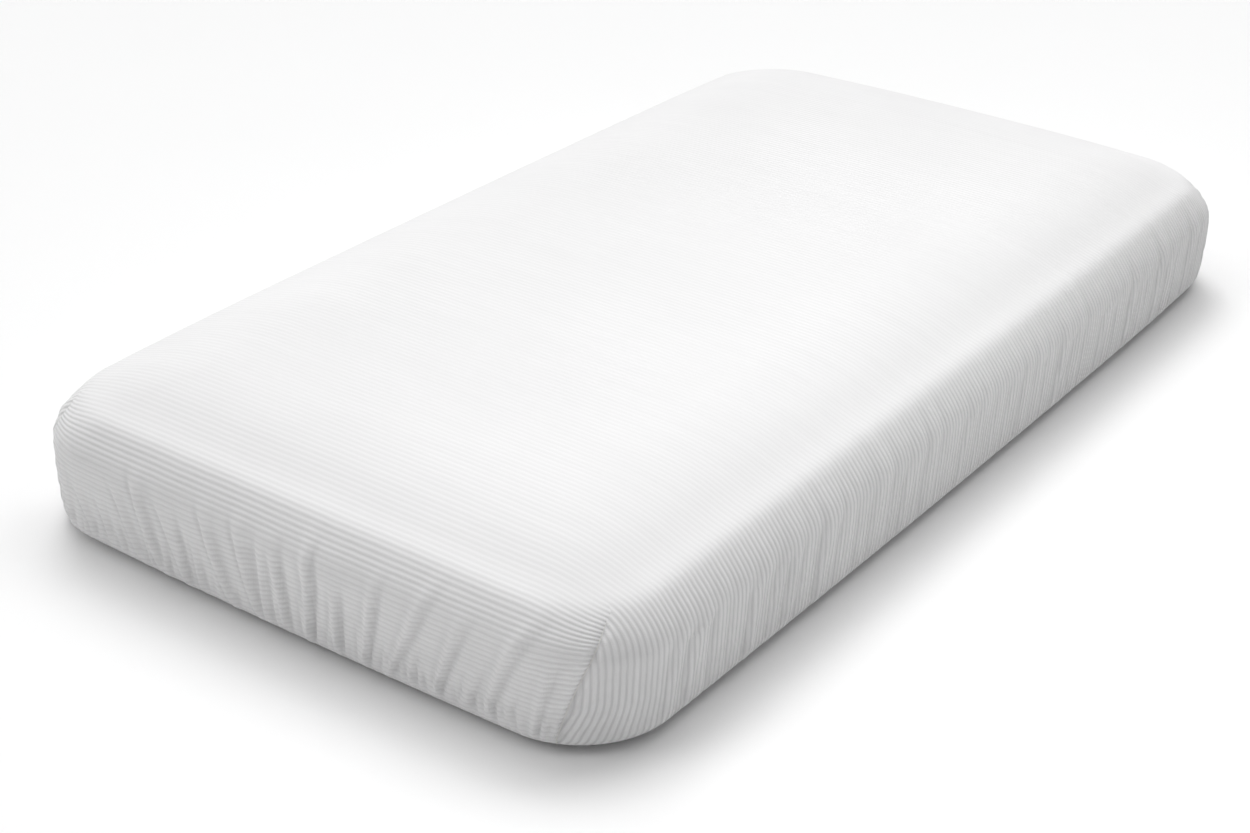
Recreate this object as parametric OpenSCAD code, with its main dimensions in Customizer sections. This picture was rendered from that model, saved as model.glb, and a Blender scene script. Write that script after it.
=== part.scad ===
// Cot-size memory foam mattress in a zipped cover, dressed in a ribbed fitted sheet.
// Millimetres. X is the width, Y the length, Z up. The origin is the middle of the
// footprint on the surface that the mattress lies on. The layers are nested shells
// that all follow one edge profile.

/* [Mattress] */
// Overall width, over the sheet
mattress_w = 712; // [600:1:960]
// Overall length, over the sheet
mattress_l = 1322; // [1180:1:2000]
// Overall height, over the sheet
mattress_h = 160; // [150:1:200]
// Plan radius of the four upright corners
corner_r = 105; // [95:1:150]

/* [Edge profile] */
// How far the top shoulder reaches in from the side
shoulder_in = 150; // [110:1:170]
// How far the top shoulder reaches down from the top
shoulder_down = 66; // [50:1:70]
// How far the lower edge reaches in from the side
under_in = 30; // [20:1:60]
// How far the lower edge reaches up from the bottom
under_up = 80; // [60:1:84]
// Chords in each quarter of the profile
profile_n = 18; // [12:1:24]

/* [Layers] */
// Thickness of the fitted sheet
sheet_t = 0.8; // [0.6:0.1:1]
// Thickness of the cover's top and side fabric
cover_t = 2; // [1.5:0.1:2.5]
// Thickness of the cover's spacer-fabric base
base_t = 5; // [4:0.5:6]
// Height of the cover's base above the surface it lies on
base_z = 5.5; // [5.5:0.1:6]
// Thickness of the knitted fire sock
sock_t = 1; // [0.8:0.1:1.2]
// Room between one layer and the next
layer_gap = 0.3; // [0.2:0.05:0.4]
// Thickness of the adhesive film between the two foams
film_t = 0.5; // [0.25:0.25:1]
// Where the foam joint meets the profile, in degrees from the flat top
foam_joint = 73; // [60:1:76]

/* [Fitted sheet hem] */
// Half width of the opening under the mattress
hem_x = 276; // [240:1:280]
// Half length of the opening under the mattress
hem_y = 581; // [500:1:585]
// Radius of the opening's corners
hem_r = 90; // [60:1:110]
// Width of the hem casing
casing_w = 12; // [10:0.5:14]
// Height of the hem casing
casing_h = 4.6; // [4:0.1:4.8]
// Width of the elastic in the casing
elastic_w = 8; // [6:0.5:9]
// Thickness of the elastic in the casing
elastic_t = 1.6; // [1:0.1:2]
// Width of each mitred corner seam, in degrees round the corner
seam_deg = 1.6; // [1:0.1:3]

/* [Zip] */
// Length of the toothed chain
zip_l = 1030; // [800:5:1040]
// Distance between teeth of one row
tooth_pitch = 5; // [4:0.5:6]
// Width of each tape
tape_w = 15; // [12:0.5:18]
// Width of the slot in the cover's base
slot_w = 18; // [16:0.5:20]
// Where the slider stands when the zip is closed
slider_y = 510; // [400:1:520]
// Length of the pull's tab from its pivot
pull_l = 23; // [16:0.5:30]

/* [Labels] */
// Width and length of the two blank labels
label_w = 25; // [20:1:35]
label_l = 42; // [30:1:60]

/* [Hidden] */
$fn = 96;

// Half distances between the corner centres
cx = mattress_w / 2 - corner_r;
cy = mattress_l / 2 - corner_r;
step = 90 / profile_n;

// Insets of each layer's outer and inner face from the outside of the sheet
cover_o = sheet_t + layer_gap;
cover_i = cover_o + cover_t;
sock_o = cover_i + layer_gap;
sock_i = sock_o + sock_t;
foam_o = sock_i + layer_gap;
// Heights of each layer's lower and upper face at the base
base_top = base_z + base_t;
sock_z = base_top + layer_gap;
sock_top = sock_z + sock_t;
foam_z = sock_top + layer_gap;

// Where the cover's seams lie on the profile, in degrees from the flat top and base
top_seam = [54, 58];
low_seam = [60, 64];

// Zip heights
tape_z0 = base_z - 0.6;
tape_z1 = base_z;
tooth_z0 = base_z - 1.3;
tooth_z1 = base_z + 0.7;
tape_x0 = 3.8;
zip_y0 = -zip_l / 2 - 5;
zip_y1 = slider_y - 0.5;
pivot_y = slider_y + 0.3;
pivot_z = 2.3;

// A point of the profile: r from the corner's centre, z up. t runs from the flat to the side.
function top_pt(o, t) = [corner_r - shoulder_in + (shoulder_in - o) * sin(t),
                         mattress_h - shoulder_down + (shoulder_down - o) * cos(t)];
function low_pt(o, z, t) = [corner_r - under_in + (under_in - o) * sin(t),
                            under_up - (under_up - z) * cos(t)];
function chords(t0, t1) = max(1, ceil(abs(t1 - t0) / step - 0.001));
function top_arc(o, t0, t1) = let (n = chords(t0, t1)) [for (i = [0:n]) top_pt(o, t0 + (t1 - t0) * i / n)];
function low_arc(o, z, t0, t1) = let (n = chords(t0, t1)) [for (i = [0:n]) low_pt(o, z, t0 + (t1 - t0) * i / n)];
// The profile outside the corner's centre, from above it to the flat base
function whole(o, z) = concat(top_arc(o, over(o), 90), low_arc(o, z, 90, 0), [[0, z]]);
// Where the profile passes over the corner's centre
function over(o) = asin((shoulder_in - corner_r) / (shoulder_in - o));
function flip(v) = [for (i = [len(v) - 1:-1:0]) v[i]];
// A point on the chord from a to b at the height z
function at_z(a, b, z) = a + (b - a) * (z - a[1]) / (b[1] - a[1]);

// Carries a section, drawn as r and z from the corner's centre, all round the plan
module around(x, y) {
    for (q = [[1, 1, 0], [-1, 1, 90], [-1, -1, 180], [1, -1, 270]])
        translate([q[0] * x, q[1] * y, 0]) rotate([0, 0, q[2]]) rotate_extrude(angle = 90) children();
    for (s = [0, 180]) rotate([0, 0, s]) {
        translate([x, y, 0]) rotate([90, 0, 0]) linear_extrude(2 * y) children();
        translate([-x, y, 0]) rotate([90, 0, 90]) linear_extrude(2 * x) children();
    }
}

// A slab between the four corner centres
module middle(z0, z1) {
    translate([-cx, -cy, z0]) cube([2 * cx, 2 * cy, z1 - z0]);
}

// The same slab under the part of the shoulder that reaches in past the corner centres.
// Each way it is as high as the profile, and where both ways slope the lower one holds.
module crown(o, z0) {
    arc = top_arc(o, over(o), 0);
    intersection() {
        translate([0, cy, 0]) rotate([90, 0, 0]) linear_extrude(2 * cy) polygon(concat([[cx, z0]],
            [for (p = arc) [cx + p[0], p[1]]], [for (p = flip(arc)) [-cx - p[0], p[1]]], [[-cx, z0]]));
        translate([-cx, 0, 0]) rotate([90, 0, 90]) linear_extrude(2 * cx) polygon(concat([[cy, z0]],
            [for (p = arc) [cy + p[0], p[1]]], [for (p = flip(arc)) [-cy - p[0], p[1]]], [[-cy, z0]]));
    }
}

// A flat plate with rounded corners
module plate(x, y, r, z0, z1) {
    translate([0, 0, z0]) {
        for (i = [-1, 1], j = [-1, 1]) translate([i * (x - r), j * (y - r), 0]) cylinder(h = z1 - z0, r = r);
        translate([-x, r - y, 0]) cube([2 * x, 2 * (y - r), z1 - z0]);
        translate([r - x, -y, 0]) cube([2 * (x - r), 2 * y, z1 - z0]);
    }
}

// A ring of rectangular section that follows the sheet's hem
module hem_ring(r0, r1, z0, z1) {
    around(hem_x - hem_r, hem_y - hem_r)
        polygon([[r0, z0], [r1, z0], [r1, z1], [r0, z1]]);
}

// ---- foam ----
joint_a = top_pt(foam_o, foam_joint);
joint_b = top_pt(foam_o, foam_joint + 4);
film_top = floor(4 * joint_a[1]) / 4;
film_low = film_top - film_t;

module support_foam_core() color("#e9e4d6") {
    around(cx, cy) polygon(concat([[0, film_low], at_z(joint_a, joint_b, film_low)],
        top_arc(foam_o, foam_joint + 4, 90), low_arc(foam_o, foam_z, 90, 0), [[0, foam_z]]));
    middle(foam_z, film_low);
}

module adhesive_film() color("#f2ecd0") {
    r = joint_a[0] - 2;
    plate(cx + r, cy + r, r, film_low, film_top);
}

module memory_foam_layer() color("#f4efdf") {
    around(cx, cy) polygon(concat(top_arc(foam_o, over(foam_o), foam_joint),
        [at_z(joint_a, joint_b, film_top), [0, film_top]]));
    crown(foam_o, film_top);
}

// ---- fire sock ----
mouth_l = 490;
mouth_h = 1.5;

module fire_sock() color("#f3f3f0") difference() {
    union() {
        around(cx, cy) polygon(concat(whole(sock_o, sock_z), flip(whole(sock_i, sock_top))));
        difference() {
            crown(sock_o, film_top);
            crown(sock_i, film_top - 1);
        }
        middle(sock_z, sock_top);
    }
    translate([-mouth_l / 2, -mattress_l / 2 + sock_o - 1, under_up + 12])
        cube([mouth_l, sock_t + 2, mouth_h]);
}

module fire_sock_closing_seam() color("#d9d4c4")
    translate([-mouth_l / 2, -mattress_l / 2 + sock_o, under_up + 12]) cube([mouth_l, sock_t, mouth_h]);

// ---- zipped cover ----
module cover_top_panel() color("#f6f6f4") {
    around(cx, cy) polygon(concat(top_arc(cover_o, over(cover_o), top_seam[0]),
        top_arc(cover_i, top_seam[0], over(cover_i))));
    difference() {
        crown(cover_o, film_top);
        crown(cover_i, film_top - 1);
    }
}

module cover_top_seam() color("#e3e3df")
    around(cx, cy) polygon(concat(top_arc(cover_o, top_seam[0], top_seam[1]),
        top_arc(cover_i, top_seam[1], top_seam[0])));

module cover_side_band() color("#f1f1ee")
    around(cx, cy) polygon(concat(
        top_arc(cover_o, top_seam[1], 90), low_arc(cover_o, base_z, 90, low_seam[1]),
        low_arc(cover_i, base_top, low_seam[1], 90), top_arc(cover_i, 90, top_seam[1])));

module cover_bottom_seam() color("#e3e3df")
    around(cx, cy) polygon(concat(low_arc(cover_o, base_z, low_seam[1], low_seam[0]),
        low_arc(cover_i, base_top, low_seam[0], low_seam[1])));

module cover_bottom_panel() color("#ecece8") difference() {
    union() {
        around(cx, cy) polygon(concat(low_arc(cover_o, base_z, low_seam[0], 0), [[0, base_z], [0, base_top]],
            low_arc(cover_i, base_top, 0, low_seam[0])));
        middle(base_z, base_top);
    }
    translate([-slot_w / 2, -zip_l / 2 - 15, base_z - 1]) cube([slot_w, zip_l + 30, base_t + 2]);
}

module cover_care_label() color("white")
    translate([90, hem_y - 150, base_z - 0.4]) cube([label_l, label_w, 0.4]);

// ---- zip ----
module tape(x) translate([x, -zip_l / 2 - 12, tape_z0]) cube([tape_w, zip_l + 24, tape_z1 - tape_z0]);

module zip_tape_left() color("#f0f0ee") tape(-tape_x0 - tape_w);

module zip_tape_right() color("#f0f0ee") tape(tape_x0);

// One row of teeth. s is the side it stands on, and p the shift of its first tooth.
teeth_n = floor((zip_y1 - zip_y0 - tooth_pitch) / tooth_pitch);
tooth_w = tooth_pitch / 2 - 0.2;
module teeth(s, p) translate([0, 0, tooth_z0]) linear_extrude(tooth_z1 - tooth_z0)
    polygon(concat([[s * tape_x0, zip_y0]],
        [[s * 2.3, zip_y0]],
        [for (i = [0:teeth_n - 1], k = [0:3]) let (y = zip_y0 + p + i * tooth_pitch)
            k == 0 ? [s * 2.3, y + 0.1] : k == 1 ? [-s * 1.3, y + 0.3] :
            k == 2 ? [-s * 1.3, y + tooth_w - 0.1] : [s * 2.3, y + tooth_w + 0.1]],
        [[s * 2.3, zip_y1], [s * tape_x0, zip_y1]]));

module zip_teeth_left() color("white") teeth(-1, 0.2);

module zip_teeth_right() color("white") teeth(1, tooth_pitch / 2 + 0.2);

module zip_bottom_stop() color("#cfd2d4") difference() {
    translate([-5.4, zip_y0 - 3.2, tooth_z0]) cube([10.8, 3, tooth_z1 - tooth_z0]);
    for (x = [-tape_x0 - tape_w, tape_x0])
        translate([x, zip_y0 - 4, tape_z0]) cube([tape_w, 5, tape_z1 - tape_z0]);
}

module zip_top_stops() color("#cfd2d4") difference() {
    for (x = [-5.4, 2.2]) translate([x, slider_y + 7.5, tooth_z0]) cube([3.2, 3, tooth_z1 - tooth_z0]);
    for (x = [-tape_x0 - tape_w, tape_x0])
        translate([x, slider_y + 7, tape_z0]) cube([tape_w, 4, tape_z1 - tape_z0]);
}

module slider_plate(z0, z1) translate([0, slider_y, z0]) linear_extrude(z1 - z0)
    polygon([[-5, -5], [-4, -6], [4, -6], [5, -5], [5, 4.5], [3.5, 6], [-3.5, 6], [-5, 4.5]]);

module zip_slider() color("#c4c7ca") {
    slider_plate(3.1, 4.0);
    slider_plate(6.4, 7.3);
    // Post that parts the two rows
    translate([0, slider_y + 2.5, 3.5]) cylinder(h = 3.4, r = 1.4);
    // Flanges that hold the rows in, with room between them for the tapes
    for (x = [-5, 4.2], z = [[3.9, 4.7], [5.7, 6.5]])
        translate([x, slider_y - 5, z[0]]) cube([0.8, 9.5, z[1] - z[0]]);
    // Bridge that the pull hangs on
    for (y = [-4, 1.2]) translate([-0.8, slider_y + y, 0.9]) cube([1.6, 1, 2.3]);
    translate([-0.8, slider_y - 4, 0.7]) cube([1.6, 6.2, 0.8]);
}

module zip_pull() color("#c4c7ca") translate([0, pivot_y, pivot_z]) {
    rotate([0, 90, 0]) cylinder(h = 5, r = 0.55, center = true);
    for (x = [-2.5, 1.3]) translate([x, -5.4, -0.55]) cube([1.2, 5.4, 1.1]);
    translate([-2.5, -6.5, -0.55]) cube([5, 1.5, 1.1]);
    translate([-3.5, 3.5 - pull_l, -0.55]) cube([7, pull_l - 9.5, 1.1]);
    translate([0, 3.5 - pull_l, -0.55]) cylinder(h = 1.1, r = 3.5);
}

// ---- fitted sheet ----
module fitted_sheet() color("white") difference() {
    union() {
        around(cx, cy) polygon(concat(whole(0, 0), flip(whole(sheet_t, sheet_t))));
        difference() {
            crown(0, film_top);
            crown(sheet_t, film_top - 1);
        }
        middle(0, sheet_t);
    }
    plate(hem_x + casing_w, hem_y + casing_w, hem_r + casing_w, -1, 2);
}

// The raised seam that closes each mitred corner
module sheet_corner_seams() color("#f4f4f4")
    for (q = [[1, 1, 0], [-1, 1, 90], [-1, -1, 180], [1, -1, 270]])
        translate([q[0] * cx, q[1] * cy, 0]) rotate([0, 0, q[2] + 45 - seam_deg / 2])
            rotate_extrude(angle = seam_deg)
                polygon(concat(top_arc(0, 62, 90), low_arc(0, 0, 90, 34),
                    low_arc(-1, 0, 34, 90), top_arc(-1, 90, 62)));

module sheet_hem_casing() color("#fbfbfb") difference() {
    hem_ring(hem_r, hem_r + casing_w, 0, casing_h);
    hem_ring(hem_r + sheet_t, hem_r + casing_w - sheet_t, sheet_t, casing_h - sheet_t);
    hem_ring(hem_r + casing_w - 2.4, hem_r + casing_w - 1.4, casing_h - 2, casing_h + 1);
}

module sheet_hem_elastic() color("#f5f3ee") {
    m = hem_r + casing_w / 2;
    z = casing_h / 2;
    hem_ring(m - elastic_w / 2, m + elastic_w / 2, z - elastic_t / 2, z + elastic_t / 2);
}

module sheet_hem_stitching() color("#f0f0f0")
    hem_ring(hem_r + casing_w - 2.4, hem_r + casing_w - 1.4, casing_h - sheet_t, casing_h);

module sheet_care_label() color("white")
    translate([-hem_x - 8, hem_y - 260, casing_h]) cube([label_l, label_w, 0.4]);

support_foam_core();
adhesive_film();
memory_foam_layer();
fire_sock();
fire_sock_closing_seam();
cover_top_panel();
cover_top_seam();
cover_side_band();
cover_bottom_seam();
cover_bottom_panel();
zip_tape_left();
zip_tape_right();
zip_teeth_left();
zip_teeth_right();
zip_bottom_stop();
zip_top_stops();
zip_slider();
zip_pull();
cover_care_label();
fitted_sheet();
sheet_corner_seams();
sheet_hem_casing();
sheet_hem_elastic();
sheet_hem_stitching();
sheet_care_label();
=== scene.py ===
import bpy, bmesh, math
import numpy as np
from mathutils import Vector, Matrix


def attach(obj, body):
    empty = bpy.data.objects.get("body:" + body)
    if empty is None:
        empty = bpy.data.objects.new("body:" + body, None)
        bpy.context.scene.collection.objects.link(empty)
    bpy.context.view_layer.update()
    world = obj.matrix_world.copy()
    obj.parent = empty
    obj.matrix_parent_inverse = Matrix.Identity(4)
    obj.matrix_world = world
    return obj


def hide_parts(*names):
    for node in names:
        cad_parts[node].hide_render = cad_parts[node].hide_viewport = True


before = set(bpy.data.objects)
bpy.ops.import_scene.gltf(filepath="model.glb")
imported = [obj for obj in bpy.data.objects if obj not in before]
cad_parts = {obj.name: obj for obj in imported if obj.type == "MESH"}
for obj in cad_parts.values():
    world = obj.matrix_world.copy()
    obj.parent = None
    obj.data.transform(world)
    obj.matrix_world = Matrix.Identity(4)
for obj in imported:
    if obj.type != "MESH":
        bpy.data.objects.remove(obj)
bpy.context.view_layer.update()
scene = bpy.context.scene
scene.view_settings.view_transform = "Standard"
MM = 0.001

# ---------------------------------------------------------------- helpers ----


def smooth(t):
    t = np.clip(t, 0.0, 1.0)
    return t * t * (3 - 2 * t)


def mesh_np(name, V, quads=None, tris=None):
    quads = np.zeros((0, 4), np.int32) if quads is None or len(quads) == 0 else np.asarray(quads, np.int32)
    tris = np.zeros((0, 3), np.int32) if tris is None or len(tris) == 0 else np.asarray(tris, np.int32)
    me = bpy.data.meshes.new(name)
    V = np.asarray(V, float)
    me.vertices.add(len(V))
    me.vertices.foreach_set("co", (V * MM).astype(np.float32).ravel())
    loops = np.concatenate([quads.ravel(), tris.ravel()]).astype(np.int32)
    me.loops.add(len(loops))
    me.loops.foreach_set("vertex_index", loops)
    starts = np.concatenate([np.arange(len(quads)) * 4, len(quads) * 4 + np.arange(len(tris)) * 3]).astype(np.int32)
    me.polygons.add(len(starts))
    me.polygons.foreach_set("loop_start", starts)
    me.update(calc_edges=True)
    me.polygons.foreach_set("use_smooth", np.ones(len(starts), bool))
    me.update()
    return me


def put(name, me, mat, body, nodes=()):
    ob = bpy.data.objects.new(name, me)
    scene.collection.objects.link(ob)
    if mat is not None:
        me.materials.append(mat)
    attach(ob, body)
    if nodes:
        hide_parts(*nodes)
    return ob


def join_parts(parts):
    """parts: [(V, quads, tris)] -> one."""
    Vs, Qs, Ts, n = [], [], [], 0
    for V, Q, T in parts:
        Vs.append(np.asarray(V, float))
        if Q is not None and len(Q):
            Qs.append(np.asarray(Q, int) + n)
        if T is not None and len(T):
            Ts.append(np.asarray(T, int) + n)
        n += len(V)
    return (np.concatenate(Vs), np.concatenate(Qs) if Qs else None, np.concatenate(Ts) if Ts else None)


def vert_normals(V, quads, tris):
    n = np.zeros_like(V)
    if quads is not None and len(quads):
        q = V[quads]
        f = np.cross(q[:, 2] - q[:, 0], q[:, 3] - q[:, 1])
        for k in range(4):
            np.add.at(n, quads[:, k], f)
    if tris is not None and len(tris):
        q = V[tris]
        f = np.cross(q[:, 1] - q[:, 0], q[:, 2] - q[:, 0])
        for k in range(3):
            np.add.at(n, tris[:, k], f)
    return n / np.maximum(np.linalg.norm(n, axis=1, keepdims=True), 1e-9)


def sweep(path, up, section, closed, cap=True, scale=None):
    """Carries a closed section [(side, up)] along path (n,3), with up (n,3) as the section's up."""
    path = np.asarray(path, float)
    n, m = len(path), len(section)
    if closed:
        tan = np.roll(path, -1, 0) - np.roll(path, 1, 0)
    else:
        tan = np.gradient(path, axis=0)
    tan /= np.linalg.norm(tan, axis=1, keepdims=True)
    up = np.broadcast_to(np.asarray(up, float), path.shape)
    up = up - (up * tan).sum(1, keepdims=True) * tan
    up = up / np.linalg.norm(up, axis=1, keepdims=True)
    side = np.cross(tan, up)
    S = np.asarray(section, float)
    if scale is None:
        scale = np.ones((n, 2))
    V = (path[:, None] + side[:, None] * (S[None, :, 0:1] * scale[:, None, 0:1])
         + up[:, None] * (S[None, :, 1:2] * scale[:, None, 1:2])).reshape(-1, 3)
    k = n if closed else n - 1
    i, j = np.meshgrid(np.arange(k), np.arange(m), indexing="ij")
    a = i * m + j
    b = i * m + (j + 1) % m
    c = ((i + 1) % n) * m + (j + 1) % m
    d = ((i + 1) % n) * m + j
    Q = np.stack([d, c, b, a], -1).reshape(-1, 4)
    T = None
    if cap and not closed:
        ts = []
        for base, flip in ((0, True), ((n - 1) * m, False)):
            for t in range(1, m - 1):
                tri = [base, base + t, base + t + 1]
                ts.append(tri if flip else tri[::-1])
        T = np.array(ts)
    return V, Q, T


def oval(w, h, m=12):
    a = np.linspace(0, 2 * np.pi, m, endpoint=False)
    return np.stack([np.cos(a) * w / 2, np.sin(a) * h / 2], 1)


def value_noise(x, y, seed):
    """Smooth noise in about -1..1, lattice of 1 unit."""
    rs = np.random.RandomState(seed)
    G = rs.uniform(-1, 1, (64, 64))
    xi, yi = np.floor(x).astype(int), np.floor(y).astype(int)
    u, v = smooth(x - xi), smooth(y - yi)
    a, b = G[xi % 64, yi % 64], G[(xi + 1) % 64, yi % 64]
    c, d = G[xi % 64, (yi + 1) % 64], G[(xi + 1) % 64, (yi + 1) % 64]
    return (a * (1 - u) + b * u) * (1 - v) + (c * (1 - u) + d * u) * v


# ------------------------------------------------------------- node helpers ----


class Nodes:
    def __init__(self, name):
        self.mat = bpy.data.materials.new(name)
        self.mat.use_nodes = True
        self.nt = self.mat.node_tree
        self.nt.nodes.clear()
        self.out = self.nt.nodes.new("ShaderNodeOutputMaterial")
        self.bsdf = self.nt.nodes.new("ShaderNodeBsdfPrincipled")
        self.nt.links.new(self.bsdf.outputs[0], self.out.inputs[0])

    def link(self, src, dst):
        if hasattr(src, "is_output"):
            self.nt.links.new(src, dst)
        else:
            dst.default_value = src

    def math(self, op, a, b=None, c=None, clamp=False):
        n = self.nt.nodes.new("ShaderNodeMath")
        n.operation = op
        n.use_clamp = clamp
        self.link(a, n.inputs[0])
        if b is not None:
            self.link(b, n.inputs[1])
        if c is not None:
            self.link(c, n.inputs[2])
        return n.outputs[0]

    def coord(self, kind="Object"):
        n = self.nt.nodes.new("ShaderNodeTexCoord")
        return n.outputs[kind]

    def xyz(self, v):
        n = self.nt.nodes.new("ShaderNodeSeparateXYZ")
        self.link(v, n.inputs[0])
        return n.outputs

    def comb(self, x, y, z):
        n = self.nt.nodes.new("ShaderNodeCombineXYZ")
        for k, v in enumerate((x, y, z)):
            self.link(v, n.inputs[k])
        return n.outputs[0]

    def uv(self, name):
        n = self.nt.nodes.new("ShaderNodeUVMap")
        n.uv_map = name
        return n.outputs[0]

    def scale(self, v, s):
        n = self.nt.nodes.new("ShaderNodeMapping")
        self.link(v, n.inputs[0])
        n.inputs["Scale"].default_value = s
        return n.outputs[0]

    def noise(self, v, scale, detail=3.0, rough=0.5, distortion=0.0):
        n = self.nt.nodes.new("ShaderNodeTexNoise")
        self.link(v, n.inputs["Vector"])
        n.inputs["Scale"].default_value = scale
        n.inputs["Detail"].default_value = detail
        n.inputs["Roughness"].default_value = rough
        n.inputs["Distortion"].default_value = distortion
        return n.outputs[0]

    def voronoi(self, v, scale, feature="F1", rnd=1.0):
        n = self.nt.nodes.new("ShaderNodeTexVoronoi")
        n.feature = feature
        self.link(v, n.inputs["Vector"])
        n.inputs["Scale"].default_value = scale
        n.inputs["Randomness"].default_value = rnd
        return n.outputs["Distance"]

    def ramp(self, fac, stops):
        n = self.nt.nodes.new("ShaderNodeValToRGB")
        self.link(fac, n.inputs[0])
        e = n.color_ramp.elements
        while len(e) < len(stops):
            e.new(0.5)
        for k, (p, c) in enumerate(stops):
            e[k].position = p
            e[k].color = (c[0], c[1], c[2], 1)
        return n.outputs[0]

    def mix(self, fac, a, b, blend="MIX"):
        n = self.nt.nodes.new("ShaderNodeMix")
        n.data_type = "RGBA"
        n.blend_type = blend
        self.link(fac, n.inputs["Factor"])
        for v, s in ((a, n.inputs[6]), (b, n.inputs[7])):
            if hasattr(v, "is_output"):
                self.nt.links.new(v, s)
            else:
                s.default_value = (v[0], v[1], v[2], 1)
        return n.outputs[2]

    def maprange(self, v, a, b, c, d):
        n = self.nt.nodes.new("ShaderNodeMapRange")
        self.link(v, n.inputs[0])
        for k, x in enumerate((a, b, c, d)):
            n.inputs[k + 1].default_value = x
        return n.outputs[0]

    def bump(self, height, strength, distance, normal=None):
        n = self.nt.nodes.new("ShaderNodeBump")
        n.inputs["Strength"].default_value = strength
        n.inputs["Distance"].default_value = distance
        self.link(height, n.inputs["Height"])
        if normal is not None:
            self.link(normal, n.inputs["Normal"])
        return n.outputs[0]

    def done(self, color=None, rough=None, normal=None, **consts):
        b = self.bsdf
        if color is not None:
            self.link(color, b.inputs["Base Color"])
        if rough is not None:
            self.link(rough, b.inputs["Roughness"])
        if normal is not None:
            self.link(normal, b.inputs["Normal"])
        for k, v in consts.items():
            b.inputs[k.replace("_", " ")].default_value = v
        return self.mat


# --------------------------------------------------------------- materials ----
RIB = 6.0  # mm between ribs of the sheet


def mat_ribbed(name="ribbed_jersey"):
    m = Nodes(name)
    q = m.xyz(m.uv("fabric"))
    ob = m.coord()
    wob = m.math("MULTIPLY", m.math("SUBTRACT", m.noise(ob, 9.0, 2.0), 0.5), 0.0030)
    fine = m.math("MULTIPLY", m.math("SUBTRACT", m.noise(ob, 70.0, 2.0), 0.5), 0.0007)
    u = m.math("ADD", m.math("ADD", q[0], wob), fine)
    ph = m.math("MULTIPLY", u, math.pi * 1000.0 / RIB)
    rib = m.math("SUBTRACT", 1.0, m.math("POWER", m.math("ABSOLUTE", m.math("SINE", ph)), 1.7))
    rib = m.math("SUBTRACT", 1.0, rib)  # 1 on the rib's crest, 0 in the groove
    # u: painted shade of folds, seams and lower edge; v: rib relief
    shade_relief = m.xyz(m.uv("shade_relief"))
    # knit loops along each rib
    loops = m.math("SINE", m.math("MULTIPLY", q[1], 2 * math.pi * 1000.0 / 1.9))
    loops = m.math("MULTIPLY", m.math("ADD", loops, 1.0), 0.5)
    grain = m.noise(ob, 1100.0, 2.0, 0.6)
    cloud = m.noise(ob, 5.0, 3.0)
    lane = m.noise(m.comb(m.math("MULTIPLY", u, 95.0), m.math("MULTIPLY", q[1], 6.0), 0.0), 1.0, 2.0)
    base = m.mix(m.maprange(cloud, 0.3, 0.7, 0.0, 1.0), (0.832, 0.829, 0.832), (0.860, 0.857, 0.860))
    base = m.mix(m.math("MULTIPLY", m.maprange(lane, 0.35, 0.65, 0.0, 0.50), m.math("ADD", shade_relief[1], 0.12), clamp=True), base, (0.772, 0.770, 0.774))
    # painted shade: the colour is darkened in the rib grooves, scaled by the rib relief
    groove = m.mix(m.math("MULTIPLY", m.maprange(rib, 0.0, 0.6, 0.54, 0.0), shade_relief[1]), base, (0.566, 0.560, 0.568))
    # painted shade from the UV layer: fold valleys, the seams and a dark band along the lower edge
    groove = m.mix(m.math("MULTIPLY", m.maprange(shade_relief[0], 0.0, 1.6, 0.0, 1.6), 0.30, clamp=True), groove, (0.505, 0.50, 0.508))
    col = m.mix(m.maprange(grain, 0.35, 0.65, 0.0, 0.14), groove, (0.706, 0.702, 0.706))
    h = m.math("ADD", m.math("MULTIPLY", rib, 1.0), m.math("MULTIPLY", m.math("MULTIPLY", loops, rib), 0.16))
    h = m.math("ADD", h, m.math("MULTIPLY", grain, 0.22))
    h = m.math("ADD", h, m.math("MULTIPLY", lane, 0.30))
    nrm = m.bump(m.math("MULTIPLY", h, shade_relief[1]), 1.0, 0.00082)
    rough = m.maprange(m.math("ADD", grain, cloud), 0.6, 1.4, 0.80, 0.96)
    return m.done(col, rough, nrm, Sheen_Weight=0.12, Sheen_Roughness=0.45, Specular_IOR_Level=0.22)


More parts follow.
